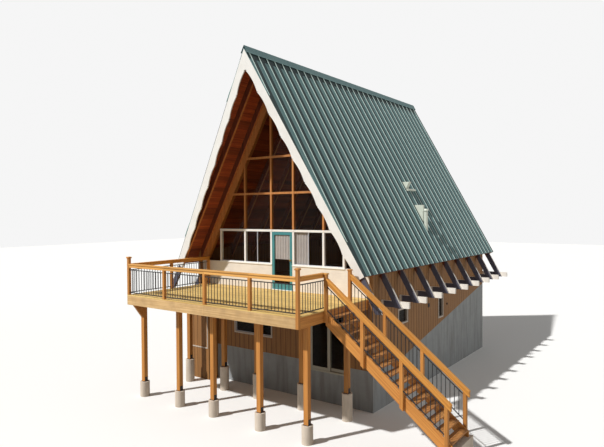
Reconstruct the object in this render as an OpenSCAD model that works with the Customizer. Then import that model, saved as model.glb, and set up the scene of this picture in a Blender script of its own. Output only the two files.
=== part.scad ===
// A-frame cabin on a stem wall, with a raised front deck and an outside stair.
// X runs across the house, Y runs back along the ridge, Z is up.
// Heights with _z or _h in the sections below are measured from the top of the
// main floor, and floor_h lifts them above the lowest ground.

/* [House] */
// Height of the main floor above the lowest ground
floor_h = 3350; // [3200:10:3600]
// Thickness of the floor boards, inside and on the deck
board_t = 25; // [20:1:40]
// Outer face of the side walls from the centre plane
wall_x = 3640; // [3400:10:3760]
// Outer face of the lower front wall, behind the eave corner
front_wall_y = 850; // [700:10:1000]
// Thickness of the outside walls
wall_t = 120; // [90:5:160]
// Thickness of the concrete stem walls
stem_t = 200; // [150:10:250]
// Thickness of the lower floor slab
slab_t = 100; // [80:10:150]
// Top of the stem wall at the front
stem_z = -2140; // [-2250:10:-1900]
// Top of the stem wall at the back
stem_back_z = -560; // [-700:10:-400]
// Where the stem wall's top starts to rise along the side
stem_rise_y = 2650; // [2000:10:3600]

/* [Roof] */
// Top of the metal roof at the ridge
ridge_z = 7630; // [7200:10:8000]
// Lower edge of the metal roof
eave_z = 765; // [700:10:900]
// Half width of the roof at the eave
eave_x = 3850; // [3780:10:3950]
// Length of the roof at the eave
roof_len = 11550; // [11400:10:11800]
// How far the ridge reaches forward of the eave corners
prow = 640; // [300:10:800]
// Thickness of the metal panels
metal_t = 15; // [10:1:25]
// Height of the standing seams
seam_h = 35; // [20:1:50]
// Width of the standing seams
seam_w = 25; // [15:1:35]
// Spacing of the standing seams
seam_pitch = 406.4; // [380:0.1:460]
// First seam that runs from the ridge cap, from the eave corner
seam_y0 = -520; // [-600:5:-400]
// Thickness of the roof boards
sheath_t = 38; // [30:1:50]
// Width of each side of the ridge cap
cap_w = 190; // [150:5:250]
// Thickness of the ridge cap over the seams
cap_t = 6; // [3:1:10]
// Depth of the bargeboards at the cusps
barge_d = 300; // [260:5:340]
// Thickness of the bargeboards
barge_t = 38; // [30:1:50]
// Spacing of the scallops in the bargeboards
scallop_pitch = 805; // [700:5:900]
// Depth of the scallops in the bargeboards
scallop_d = 50; // [30:1:70]
// Side of the small notch at each cusp
notch = 30; // [20:1:45]

/* [Frames] */
// Number of A-frames along the roof
frame_n = 10; // [8:1:11]
// How far the roof reaches past the rear wall
rear_eave = 857.4; // [800:0.1:900]
// Thickness of the rafters and floor beams
timber_w = 89; // [70:1:100]
// Depth of the rafters
rafter_d = 184; // [150:1:220]
// Depth of the floor beams
beam_d = 184; // [170:1:220]
// Thickness of the main floor, from its top to the floor beams
floor_t = 76; // [60:1:90]
// End of the floor beams from the centre plane
beam_x = 4550; // [4450:10:4900]
// Gap between the eave corner and the first rafter
first_frame_y = 45; // [40:1:80]
// Gap between the last rafter and the back edge of the roof
last_frame_gap = 443.2; // [400:0.1:480]

/* [Front wall] */
// Top of the wall below the window row
sill_z = 840; // [780:5:900]
// Top of the window row and the door
head_z = 2000; // [1900:5:2100]
// Height of the first crossbar in the gable
bar1_z = 3210; // [3100:10:3300]
// Height of the second crossbar in the gable
bar2_z = 4420; // [4300:10:4500]
// Width of the raked boards along the rafters
rake_w = 200; // [150:5:230]
// Width of the mullions and crossbars
mullion_w = 70; // [50:1:90]
// Thickness of the upper front wall
front_t = 100; // [90:1:120]
// Thickness of the glass
glass_t = 12; // [6:1:20]
// Left side of the front door opening
door_x0 = -225; // [-260:5:-200]
// Width of the front door opening
door_w = 850; // [820:5:880]
// Left mullion of the window row
mullion_left_x = -1430; // [-1500:10:-1350]
// Right mullion of the window row
mullion_right_x = 1840; // [1750:10:1900]
// Half width of the window row
row_x = 2620; // [2560:10:2680]
// Thickness of the door leaves
leaf_t = 44; // [38:1:50]
// Gap round the front door leaf
door_gap = 8; // [6:1:12]

/* [Lower front] */
// Left side of the sliding door opening
slider_x0 = 1320; // [1260:10:1400]
// Width of the sliding door opening
slider_w = 1524; // [1400:10:1600]
// Height of the sliding door opening
slider_h = 2000; // [1900:10:2050]
// Height of the wall between the sliding door and the floor beams
header_h = 160; // [100:10:200]
// Left side of the lower front window
low_win_x0 = -1860; // [-2050:10:-1850]
// Width of the lower front window
low_win_w = 1700; // [1500:10:1800]
// Bottom of the lower front window
low_win_z0 = -1620; // [-1750:10:-1600]
// Height of the lower front window
low_win_h = 610; // [500:10:700]
// Width of the closet under the deck
closet_w = 950; // [800:10:1000]
// Depth of the closet under the deck
closet_d = 450; // [350:10:550]
// Floor of the closet above the lowest ground
closet_z = 1100; // [1000:10:1200]

/* [Side windows] */
// Middle of the square side window from the front wall, in spacings of the A-frames
side_win_at = 1.63; // [1.5:0.01:1.8]
// Width of the square side window
side_win_w = 710; // [600:10:800]
// Bottom of the square side window
side_win_z0 = -1030; // [-1100:10:-1000]
// Height of the square side window
side_win_h = 510; // [450:10:560]
// Middle of the narrow side window from the front wall, in spacings of the A-frames
slot_win_at = 4.2; // [4:0.01:4.4]
// Width of the narrow side window
slot_win_w = 470; // [400:10:520]
// Bottom of the narrow side window
slot_win_z0 = -1320; // [-1340:10:-1250]
// Height of the narrow side window
slot_win_h = 860; // [800:10:900]
// Width of each rear window
rear_win_w = 1200; // [1000:10:1300]
// Gap between the rear windows
rear_win_gap = 1400; // [1200:10:1600]
// Width of the window frame bars
frame_w = 50; // [40:1:70]
// How far window and door frames stand out from the siding
trim_out = 15; // [8:1:25]

/* [Deck] */
// Left edge of the deck
deck_x0 = -3240; // [-3400:10:-3200]
// Right edge of the deck
deck_x1 = 3470; // [3420:10:3600]
// Front edge of the deck
deck_y0 = -2590; // [-2750:10:-2500]
// Depth of the rim and joists
rim_d = 286; // [235:1:300]
// Thickness of the rim and joists
rim_t = 38; // [35:1:45]
// Spacing of the deck joists
joist_pitch = 610; // [406:1:620]
// Centres of the support posts across the deck
post_x = [-3170, -1500, -50, 1720, 3300];
// Centre of the front row of support posts
post_front_y = -2000; // [-2100:10:-1900]
// Centre of the back row of support posts
post_back_y = -50; // [-150:10:-20]
// Side of the support posts
post_w = 140; // [120:1:150]
// Reach of the knee brace in front of its post
brace_out = 340; // [300:10:400]
// Height of the knee brace down its post
brace_down = 490; // [400:10:550]
// Top of the front piers
pier_front_z = -2870; // [-2950:10:-2800]
// Top of the back piers
pier_back_z = -2570; // [-2650:10:-2500]
// Diameter of the piers
pier_dia = 300; // [260:5:320]

/* [Railing] */
// Top of the deck rail above the floor
rail_z = 980; // [900:5:1070]
// Centres of the front rail posts between the corners
rail_mid_x = [-1520, 180, 1860];
// Side of the rail posts
rail_post_w = 89; // [80:1:100]
// Width of the flat top rail
rail_w = 120; // [100:5:140]
// Thickness of the flat top rail
rail_t = 38; // [30:1:45]
// Height of the rail on edge under the flat one
under_rail_d = 85; // [60:1:90]
// Thickness of the rail on edge
under_rail_w = 75; // [60:1:85]
// How far the front corner posts rise above the rail, with their caps
corner_up = 220; // [150:10:260]
// Side of the post caps
post_cap_w = 125; // [100:5:140]
// Thickness of the post caps
post_cap_t = 50; // [30:5:60]
// Diameter of the balusters
baluster_dia = 19; // [16:1:25]
// Widest spacing of the balusters
baluster_pitch = 115; // [100:1:130]
// Height of the bars above and below the balusters
bar_h = 25; // [20:1:32]
// Gap under the lower bar and over the upper bar
bar_gap = 60; // [40:5:90]

/* [Stair] */
// Centre of the near rail posts of the stair
stair_y0 = -1430; // [-1500:10:-1400]
// Centre of the far rail posts of the stair
stair_y1 = -230; // [-260:10:-200]
// Number of treads
tread_n = 15; // [14:1:15]
// Height between treads
rise = 181; // [178:0.5:184]
// Distance between tread fronts
run = 228; // [225:1:240]
// Depth of the treads
tread_d = 250; // [240:1:280]
// Thickness of the treads
tread_t = 38; // [35:1:45]
// Vertical depth of the stringers
stringer_d = 350; // [320:5:370]
// Thickness of the stringers
stringer_t = 38; // [35:1:45]
// How far the stringers' top lies below the line of the tread fronts
stringer_drop = 50; // [30:5:70]
// Height of the handrail above the line of the tread fronts
handrail_h = 915; // [850:5:950]
// Centres of the stair rail posts
stair_post_x = [4600, 5665, 6780];
// How far the handrail runs past the last post
handrail_end = 110; // [90:5:140]
// Size of the concrete footing along the stair
footing_w = 450; // [350:10:500]

/* [Vents] */
// Front of the roof vents, from the eave corner
vent_y = 5760; // [5700:10:5850]
// Top of the hood
hood_z = 3695; // [3600:5:3800]
// How far the hood stands out at its top
vent_out = 280; // [240:5:320]
// Height of the hood along the roof
hood_drop = 265; // [200:5:300]
// Depth of the hood along the ridge
vent_depth = 210; // [180:5:215]
// Top of the curb below the hood
curb_z = 3410; // [3350:5:3450]
// Length of the curb along the ridge
curb_len = 700; // [600:10:800]
// Width of the curb down the slope
curb_w = 70; // [50:5:100]
// Height of the curb off the metal
curb_h = 60; // [45:5:90]
// Top of the upright wedge
wedge_z = 2820; // [2750:5:2900]
// How far the wedge stands out at its top
wedge_out = 345; // [300:5:380]
// Thickness of the wedge
wedge_t = 130; // [100:5:180]
// Height of the flue's foot
flue_z = 1985; // [1900:5:2050]
// Diameter of the flue
flue_dia = 140; // [120:1:160]
// Height of the flue from its foot to its cap
flue_h = 620; // [550:10:700]
// Diameter of the flue's cap
cap_dia = 200; // [170:5:240]
// Height of the flue's cap
cap_h = 70; // [50:5:90]

/* [Hidden] */

far = 20000;
clear = 1;
butt_gap = 0.5;
fit_gap = 0.1;
roof_a = atan((ridge_z - eave_z) / eave_x);
slope_len = eave_x / cos(roof_a);
prow_a = atan(prow / slope_len);
apex = floor_h + ridge_z;
roof_depth = metal_t + sheath_t;
board_z0 = floor_h - board_t;
beam_z1 = floor_h - floor_t;
beam_z0 = beam_z1 - beam_d;
rear_wall_y = roof_len - rear_eave;
rear_gable_y = rear_wall_y - timber_w;
glass_wall_y = front_wall_y + timber_w;
frame_pitch = (roof_len - last_frame_gap - timber_w - first_frame_y) / (frame_n - 1);
frame_ys = [for (i = [0 : frame_n - 1]) first_frame_y + i * frame_pitch];
beam_ys = [for (i = [1 : frame_n - 1]) frame_ys[i] + timber_w];
end_frame_ys = [front_wall_y, rear_gable_y];
end_beam_ys = [glass_wall_y, rear_gable_y - timber_w];
inner_x = wall_x - wall_t;
door_x1 = door_x0 + door_w;
slider_x1 = slider_x0 + slider_w;
wall_depth = roof_depth + fit_gap;
under_rafter = roof_depth + rafter_d;
sill_top = floor_h + sill_z;
head_top = floor_h + head_z;
rim_z0 = board_z0 - rim_d;
near_rail_x = deck_x1 - rail_post_w / 2;
slab_top = beam_z0 - header_h - slider_h;
stem_top = floor_h + stem_z;
tan_stair = rise / run;
stair_end_x = deck_x1 + tread_n * run;
stair_ground = floor_h - (tread_n + 1) * rise;
near_string_y = stair_y0 + rail_post_w / 2;
far_string_y = stair_y1 - rail_post_w / 2 - stringer_t;
handrail_x1 = stair_post_x[len(stair_post_x) - 1] + handrail_end;
footing_past = 60;
footing_x1 = stair_end_x + footing_past;

door_top = floor_h + head_z - mullion_w - door_gap;
stile_w = 95;
seat_gap = 0.3;
hinge_r = 8;
hinge_h = 50;
plate_t = 3;
plate_w = 40;
hinge_x = door_x0 + hinge_r + clear;
hinge_off = hinge_r + butt_gap;
hinge_y = glass_wall_y + leaf_t + hinge_off;
hinge_in = 250;
hinge_zs = [floor_h + hinge_in, (floor_h + door_top) / 2, door_top - hinge_in];
track_w = 12;
slide_gap = 6;
slider_mid = slider_x0 + slider_w / 2;
slider_y = front_wall_y + slide_gap;
slide_leaf_y = slider_y + leaf_t + slide_gap;
slide_leaf_x0 = slider_mid - stile_w / 2;
slide_leaf_x1 = slider_x1 - frame_w - slide_gap;
slide_leaf_z0 = slab_top + frame_w + slide_gap;
slide_leaf_z1 = slab_top + slider_h - frame_w - slide_gap;
mullion_xs = [
    mullion_left_x, door_x0 - mullion_w / 2, door_x1 + mullion_w / 2, mullion_right_x
];
row_bays = [
    [-row_x + mullion_w / 2, mullion_xs[0]], [mullion_xs[0], mullion_xs[1]],
    [mullion_xs[2], mullion_xs[3]], [mullion_xs[3], row_x - mullion_w / 2]
];
rear_win_xs = [-rear_win_gap / 2 - rear_win_w, rear_win_gap / 2];
joist_spans = [
    [deck_y0 + rim_t, post_front_y - timber_w / 2],
    [post_front_y + timber_w / 2, post_back_y - timber_w / 2],
    [post_back_y + timber_w / 2, front_wall_y]
];
pier_rows = [[post_front_y, pier_front_z], [post_back_y, pier_back_z]];
front_rail_y = deck_y0 + rail_post_w / 2;
left_rail_x = deck_x0 + rail_post_w / 2;
left_post_ys = [
    (deck_y0 + glass_wall_y) / 2, glass_wall_y - rail_post_w / 2
];
front_post_xs = concat([left_rail_x], rail_mid_x, [near_rail_x]);
string_low = -stringer_drop - stringer_d;
rail_drop = rail_t / cos(atan(tan_stair));
under_drop = under_rail_d / cos(atan(tan_stair));
stair_rail_x = deck_x1 + rail_post_w / 2;

// The origin is the middle of the footprint, on the lowest ground
x_min = -beam_x;
x_max = footing_x1;
y_min = front_rail_y - rail_w / 2;
y_max = roof_len;
module place() {
    translate([-(x_min + x_max) / 2, -(y_min + y_max) / 2, 0]) children();
}

// Distance from the centre plane of a plane that lies a depth under the roof
function roof_x(z, depth) = (apex - z) / tan(roof_a) - depth / sin(roof_a);
// Height of a plane that lies a depth under the roof, at a distance from the centre
function roof_z(x, depth) = apex - x * tan(roof_a) - depth / cos(roof_a);

module box(x0, x1, y0, y1, z0, z1) {
    translate([x0, y0, z0]) cube([x1 - x0, y1 - y0, z1 - z0]);
}

// An outline in X and Z, made thick along Y
module slab_y(y0, y1) {
    translate([0, y1, 0]) rotate([90, 0, 0]) linear_extrude(y1 - y0) children();
}

// An outline in Y and Z, made thick along X
module slab_x(x0, x1) {
    translate([x0, 0, 0]) rotate([90, 0, 90]) linear_extrude(x1 - x0) children();
}

// The right slope: X runs down from the ridge, Z stands out from the metal
module on_slope() {
    translate([0, 0, apex]) rotate([0, roof_a, 0]) children();
}

module both_sides() {
    children();
    mirror([1, 0, 0]) children();
}

// The space in front of the right slope's slanted front edge, or a distance behind it
module ahead_of_roof(back) {
    on_slope() translate([0, back / cos(prow_a) - prow, -far / 2]) linear_extrude(far)
        polygon([
            [-far * cos(prow_a), -far * sin(prow_a)],
            [far * cos(prow_a), far * sin(prow_a)],
            [far, -far], [-far, -far]
        ]);
}

// A layer of the right slope between two depths, with its edges set back
module roof_layer(d0, d1, back) {
    difference() {
        on_slope() slab_y(-prow, roof_len - back)
            polygon([
                [d0 * tan(roof_a), -d0], [slope_len, -d0],
                [slope_len, -d1], [d1 * tan(roof_a), -d1]
            ]);
        ahead_of_roof(back);
    }
}

module rafter_outline(d0, d1, z0) {
    polygon([
        [0, roof_z(0, d0)], [roof_x(z0, d0), z0],
        [roof_x(z0, d1), z0], [0, roof_z(0, d1)]
    ]);
}

// The rafters of the right slope, those over the two end walls cut off at the side wall
module rafters() {
    color("peru") {
        for (y = frame_ys) slab_y(y, y + timber_w)
            rafter_outline(roof_depth, under_rafter, beam_z0);
        for (y = end_frame_ys) slab_y(y, y + timber_w) intersection() {
            rafter_outline(roof_depth, under_rafter, floor_h);
            translate([0, floor_h]) square([inner_x, far]);
        }
    }
}

module rafters_right() { place() rafters(); }
module rafters_left() { place() mirror([1, 0, 0]) rafters(); }

// The beams behind the rafters, and the short ones under the two end walls
module floor_beams() {
    color("antiquewhite") place() {
        for (y = beam_ys) box(-beam_x, beam_x, y, y + timber_w, beam_z0, beam_z1);
        for (y = end_beam_ys) box(-inner_x, inner_x, y, y + timber_w, beam_z0, beam_z1);
    }
}

module roof_boards() {
    color("saddlebrown") roof_layer(metal_t, roof_depth, barge_t + fit_gap);
}

module roof_boards_right() { place() roof_boards(); }
module roof_boards_left() { place() mirror([1, 0, 0]) roof_boards(); }

// The seams that stand on the right slope, cut off along its front edge, grown by a gap
module seams(gap) {
    seam_n = floor((roof_len - seam_y0) / seam_pitch);
    difference() {
        on_slope() for (i = [0 : seam_n])
            translate([cap_w + fit_gap, seam_y0 + i * seam_pitch - gap, -metal_t / 2])
                cube([slope_len - cap_w - fit_gap, seam_w + 2 * gap, metal_t / 2 + seam_h + gap]);
        ahead_of_roof(0);
    }
}

module metal_roof() {
    color("darkslategray") {
        roof_layer(0, metal_t, 0);
        seams(0);
    }
}

module metal_roof_right() { place() metal_roof(); }
module metal_roof_left() { place() mirror([1, 0, 0]) metal_roof(); }

module ridge_cap() {
    rise_t = seam_h + cap_t;
    cap_lift = fit_gap / cos(roof_a);
    low_x = cap_w * cos(roof_a);
    low_z = apex - cap_w * sin(roof_a);
    color("darkslategray") place() slab_y(-prow, roof_len)
        polygon([
            [0, roof_z(0, -rise_t)],
            [low_x + rise_t * sin(roof_a), low_z + rise_t * cos(roof_a)],
            [low_x, low_z + cap_lift],
            [0, apex + cap_lift],
            [-low_x, low_z + cap_lift],
            [-low_x - rise_t * sin(roof_a), low_z + rise_t * cos(roof_a)]
        ]);
}

// A scalloped board that runs down the edge of the right slope
module bargeboard(angle) {
    board_len = slope_len / cos(angle);
    arc_r = (pow(scallop_pitch / 2, 2) + pow(scallop_d, 2)) / (2 * scallop_d);
    arc_n = floor(board_len / scallop_pitch);
    first = board_len - arc_n * scallop_pitch - notch;
    rotate([0, 0, angle]) difference() {
        translate([-barge_d, 0, -metal_t - barge_d]) cube([board_len + barge_d, barge_t, barge_d]);
        for (i = [0 : arc_n - 1]) {
            translate([first + (i + 0.5) * scallop_pitch, -barge_t, -metal_t - barge_d + scallop_d - arc_r])
                rotate([-90, 0, 0]) cylinder(h = 3 * barge_t, r = arc_r, $fn = 180);
            translate([first + i * scallop_pitch - notch / 2, -barge_t, -metal_t - barge_d - notch])
                cube([notch, 3 * barge_t, 2 * notch]);
        }
    }
}

module front_bargeboard() {
    color("white") intersection() {
        on_slope() translate([0, -prow, 0]) bargeboard(prow_a);
        box(0, far, -far, far, 0, far);
    }
}

module rear_bargeboard() {
    color("white") intersection() {
        on_slope() translate([0, roof_len - barge_t, 0]) bargeboard(0);
        box(0, far, -far, far, 0, far);
    }
}

module front_bargeboard_right() { place() front_bargeboard(); }
module front_bargeboard_left() { place() mirror([1, 0, 0]) front_bargeboard(); }
module rear_bargeboard_right() { place() rear_bargeboard(); }
module rear_bargeboard_left() { place() mirror([1, 0, 0]) rear_bargeboard(); }

// The stem wall seen from the side, with its top rising towards the back
module stem_side_outline(z0) {
    polygon([
        [front_wall_y, z0], [rear_wall_y, z0],
        [rear_wall_y, floor_h + stem_back_z],
        [stem_rise_y, stem_top], [front_wall_y, stem_top]
    ]);
}

module foundation_sides() {
    color("lightgray") place() both_sides()
        intersection() {
            slab_x(wall_x - stem_t, wall_x) stem_side_outline(0);
            box(0, far, front_wall_y + stem_t, rear_wall_y - stem_t, 0, far);
        }
}

module foundation_ends() {
    color("lightgray") place() {
        difference() {
            box(-wall_x, wall_x, front_wall_y, front_wall_y + stem_t, 0, stem_top);
            box(slider_x0, slider_x0 + slider_w, 0, far, slab_top, far);
        }
        intersection() {
            slab_x(-wall_x, wall_x) stem_side_outline(0);
            box(-far, far, rear_wall_y - stem_t, far, 0, far);
        }
    }
}

module lower_floor() {
    color("gray") place()
        box(-wall_x + stem_t, wall_x - stem_t, front_wall_y + stem_t, rear_wall_y - stem_t,
            slab_top - slab_t, slab_top);
}

module lower_front_wall() {
    color("tan") place() difference() {
        box(-inner_x, slider_x0, front_wall_y, front_wall_y + wall_t, stem_top, beam_z0);
        box(low_win_x0, low_win_x0 + low_win_w, 0, far,
            floor_h + low_win_z0, floor_h + low_win_z0 + low_win_h);
    }
}

module lower_front_header() {
    color("tan") place()
        box(slider_x0, slider_x0 + slider_w, front_wall_y, front_wall_y + wall_t,
            slab_top + slider_h, beam_z0);
}

module lower_front_corner() {
    color("tan") place()
        box(slider_x0 + slider_w, inner_x, front_wall_y, front_wall_y + wall_t, stem_top, beam_z0);
}

// A side wall from the stem wall to the roof boards, let in round beams and rafters
module side_wall() {
    color("tan") difference() {
        slab_y(front_wall_y, rear_wall_y)
            polygon([
                [inner_x, stem_top], [wall_x, stem_top],
                [wall_x, roof_z(wall_x, wall_depth)], [inner_x, roof_z(inner_x, wall_depth)]
            ]);
        slab_x(wall_x - stem_t, wall_x + clear) stem_side_outline(0);
        for (y = beam_ys) box(0, far, y, y + timber_w, beam_z0, beam_z1);
        for (y = frame_ys) slab_y(y, y + timber_w) rafter_outline(0, under_rafter, beam_z0);
        for (win = side_windows) side_window(win, 0, 0, far);
    }
}

module right_wall() { place() side_wall(); }
module left_wall() { place() mirror([1, 0, 0]) side_wall(); }

module rear_lower_wall() {
    color("tan") place() difference() {
        box(-inner_x, inner_x, rear_wall_y - wall_t, rear_wall_y, stem_top, beam_z0);
        slab_x(-wall_x, wall_x) stem_side_outline(0);
    }
}

module rear_gable_wall() {
    color("tan") place() difference() {
        slab_y(rear_gable_y - front_t, rear_gable_y)
            polygon([
                [-inner_x, floor_h], [inner_x, floor_h],
                [inner_x, roof_z(inner_x, wall_depth)],
                [0, roof_z(0, wall_depth)],
                [-inner_x, roof_z(inner_x, wall_depth)]
            ]);
        for (x = rear_win_xs)
            box(x, x + rear_win_w, 0, far, sill_top, head_top);
    }
}

module closet() {
    color("tan") place() difference() {
        box(-wall_x, -wall_x + closet_w, front_wall_y - closet_d, front_wall_y, 0, board_z0 - rim_d);
        box(-wall_x + leaf_t, -wall_x + closet_w - leaf_t, front_wall_y - closet_d + leaf_t,
            far, closet_z, board_z0 - rim_d - leaf_t);
    }
}

module main_floor() {
    color("burlywood") place()
        box(-inner_x, inner_x, glass_wall_y, rear_gable_y, beam_z1, floor_h);
}

// The triangle of the gable between the side walls, at a depth under the roof
module gable_outline(depth, z0) {
    intersection() {
        polygon([
            [-roof_x(z0, depth), z0], [roof_x(z0, depth), z0], [0, roof_z(0, depth)]
        ]);
        translate([-inner_x, z0]) square([2 * inner_x, far]);
    }
}

// The wall below the window row, on both sides of the door
module front_sill_walls() {
    color("antiquewhite") place() slab_y(glass_wall_y, glass_wall_y + front_t)
        intersection() {
            gable_outline(under_rafter, floor_h);
            union() {
                translate([-far, floor_h]) square([far + door_x0, sill_z]);
                translate([door_x1, floor_h]) square([far, sill_z]);
            }
        }
}

// The openings of the window row, each between the middles of two mullions
module row_openings() {
    for (bay = row_bays)
        translate([bay[0] + mullion_w / 2, sill_top + mullion_w / 2])
            square([bay[1] - bay[0] - mullion_w, head_z - sill_z - 1.5 * mullion_w]);
}

module window_row_frame() {
    color("white") place() slab_y(glass_wall_y, glass_wall_y + front_t) difference() {
        translate([-row_x, sill_top]) square([2 * row_x, head_z - sill_z]);
        row_openings();
        translate([door_x0, floor_h]) square([door_w, head_z - mullion_w]);
    }
}

// Crossbars and mullions of the gable, long enough to be cut to it
module gable_bars() {
    for (z = [bar1_z, bar2_z])
        translate([-wall_x, floor_h + z - mullion_w / 2]) square([2 * wall_x, mullion_w]);
    for (x = mullion_xs)
        translate([x - mullion_w / 2, head_top]) square([mullion_w, far]);
}

// Raked boards along the rafters, crossbars and mullions, in one wall thickness
module gable_timbers() {
    color("peru") place() slab_y(glass_wall_y, glass_wall_y + front_t) {
        difference() {
            gable_outline(under_rafter, sill_top);
            gable_outline(under_rafter + rake_w, sill_top - clear);
            translate([-row_x, sill_top - clear]) square([2 * row_x, head_z - sill_z + clear]);
        }
        intersection() {
            gable_outline(under_rafter, sill_top);
            gable_bars();
        }
    }
}

// The panes between the timbers and in the window row
module front_glass() {
    pane_y = glass_wall_y + (front_t - glass_t) / 2;
    color("lightblue", 0.5) place() slab_y(pane_y, pane_y + glass_t) {
        difference() {
            gable_outline(under_rafter + rake_w, head_top);
            gable_bars();
        }
        row_openings();
    }
}

// The opening in the front door leaf, between two faces
module door_light(y0, y1) {
    edge = door_gap + stile_w;
    box(door_x0 + edge, door_x1 - edge, y0, y1, floor_h + edge + stile_w, door_top - stile_w);
}

// Half of a hinge: a knuckle at the origin with a plate on one side of it
module hinge_half(z, plate) {
    translate([hinge_x, hinge_y, z]) {
        cylinder(h = hinge_h, r = hinge_r, $fn = 32);
        translate(plate[0]) cube(plate[1]);
    }
}

module front_door() {
    color("teal") place() {
        difference() {
            box(door_x0 + door_gap, door_x1 - door_gap, glass_wall_y, glass_wall_y + leaf_t,
                floor_h + door_gap, door_top);
            door_light(0, far);
        }
        for (z = hinge_zs)
            hinge_half(z + hinge_h + seat_gap, [[0, -hinge_off, 0], [stile_w / 2, plate_t, hinge_h]]);
    }
}

// The halves of the hinges that stay on the left jamb
module door_hinges() {
    color("darkslategray") place() for (z = hinge_zs)
        hinge_half(z, [[door_x0 - hinge_x, 0, 0], [plate_t, plate_w, hinge_h]]);
}

module front_door_glass() {
    pane_y = glass_wall_y + (leaf_t - glass_t) / 2;
    color("lightblue", 0.5) place() door_light(pane_y, pane_y + glass_t);
}

// A rectangular ring in X and Z, made thick along Y
module ring(x0, x1, y0, y1, z0, z1, w) {
    difference() {
        box(x0, x1, y0, y1, z0, z1);
        box(x0 + w, x1 - w, y0 - clear, y1 + clear, z0 + w, z1 - w);
    }
}

// The frame of the sliding door, with the fixed leaf on its left
module sliding_door_frame() {
    z1 = slab_top + slider_h;
    color("beige") place() {
        ring(slider_x0, slider_x1, front_wall_y - trim_out, front_wall_y + wall_t, slab_top, z1, frame_w);
        ring(slider_x0 + frame_w, slider_mid + stile_w / 2, slider_y, slider_y + leaf_t,
            slab_top + frame_w, z1 - frame_w, stile_w);
        for (z = [slab_top + frame_w, slide_leaf_z1 + seat_gap])
            translate([slider_x0 + frame_w, slide_leaf_y + (leaf_t - track_w) / 2, z])
                cube([slider_w - 2 * frame_w, track_w, slide_gap - seat_gap]);
    }
}

// The leaf that slides to the left behind the fixed one
module sliding_door() {
    color("beige") place()
        ring(slide_leaf_x0, slide_leaf_x1, slide_leaf_y, slide_leaf_y + leaf_t,
            slide_leaf_z0, slide_leaf_z1, stile_w);
}

module sliding_door_glass() {
    pane_y = slide_leaf_y + (leaf_t - glass_t) / 2;
    color("lightblue", 0.5) place()
        box(slide_leaf_x0 + stile_w, slide_leaf_x1 - stile_w, pane_y, pane_y + glass_t,
            slide_leaf_z0 + stile_w, slide_leaf_z1 - stile_w);
}

// Each side window: front edge, width, bottom and height
side_windows = [
    [
        front_wall_y + side_win_at * frame_pitch - side_win_w / 2,
        side_win_w, floor_h + side_win_z0, side_win_h
    ],
    [
        front_wall_y + slot_win_at * frame_pitch - slot_win_w / 2,
        slot_win_w, floor_h + slot_win_z0, slot_win_h
    ]
];

// The space of a side window, less an edge, between two distances from the centre plane
module side_window(win, edge, x0, x1) {
    box(x0, x1, win[0] + edge, win[0] + win[1] - edge, win[2] + edge, win[2] + win[3] - edge);
}

module wall_window_frames() {
    color("white") place() {
        ring(low_win_x0, low_win_x0 + low_win_w, front_wall_y - trim_out, front_wall_y + wall_t,
            floor_h + low_win_z0, floor_h + low_win_z0 + low_win_h, frame_w);
        for (x = rear_win_xs)
            ring(x, x + rear_win_w, rear_gable_y - front_t, rear_gable_y + trim_out,
                sill_top, head_top, frame_w);
        both_sides() for (win = side_windows) difference() {
            side_window(win, 0, inner_x, wall_x + trim_out);
            side_window(win, frame_w, 0, far);
        }
    }
}

module wall_window_glass() {
    y0 = front_wall_y + (wall_t - glass_t) / 2;
    y1 = rear_gable_y - (front_t + glass_t) / 2;
    x0 = wall_x - (wall_t + glass_t) / 2;
    z0 = floor_h + low_win_z0;
    door_edge = frame_w + stile_w;
    color("lightblue", 0.5) place() {
        box(low_win_x0 + frame_w, low_win_x0 + low_win_w - frame_w, y0, y0 + glass_t,
            z0 + frame_w, z0 + low_win_h - frame_w);
        for (x = rear_win_xs)
            box(x + frame_w, x + rear_win_w - frame_w, y1, y1 + glass_t,
                sill_top + frame_w, head_top - frame_w);
        both_sides() for (win = side_windows) side_window(win, frame_w, x0, x0 + glass_t);
        box(slider_x0 + door_edge, slider_mid - stile_w / 2,
            slider_y + (leaf_t - glass_t) / 2, slider_y + (leaf_t + glass_t) / 2,
            slab_top + door_edge, slab_top + slider_h - door_edge);
    }
}

// The boards, cut round the right corner post
module deck_boards() {
    color("khaki") place() difference() {
        box(deck_x0, deck_x1, deck_y0, glass_wall_y, board_z0, floor_h);
        box(deck_x1 - rail_post_w, far, -far, deck_y0 + rail_post_w, 0, far);
    }
}

// The outer boards of the deck, parted at the right corner post
module deck_rim() {
    color("peru") place() difference() {
        union() {
            box(deck_x0, deck_x1, deck_y0, deck_y0 + rim_t, rim_z0, board_z0);
            for (x = [deck_x0, deck_x1 - rim_t])
                box(x, x + rim_t, deck_y0 + rim_t + butt_gap, front_wall_y, rim_z0, board_z0);
        }
        box(deck_x1 - rail_post_w, far, -far, deck_y0 + rail_post_w, 0, far);
    }
}

module deck_joists() {
    n = ceil((deck_x1 - deck_x0) / joist_pitch);
    step = (deck_x1 - deck_x0 - rim_t) / n;
    color("peru") place() for (i = [1 : n - 1], ys = joist_spans)
        box(deck_x0 + i * step, deck_x0 + i * step + rim_t, ys[0], ys[1], rim_z0, board_z0);
}

module deck_beams() {
    color("peru") place() {
        for (y = [post_front_y, post_back_y])
            box(deck_x0 + rim_t, deck_x1 - rim_t, y - timber_w / 2, y + timber_w / 2, rim_z0, board_z0);
        box(-inner_x, inner_x, front_wall_y, glass_wall_y, beam_z0, board_z0);
    }
}

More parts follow.
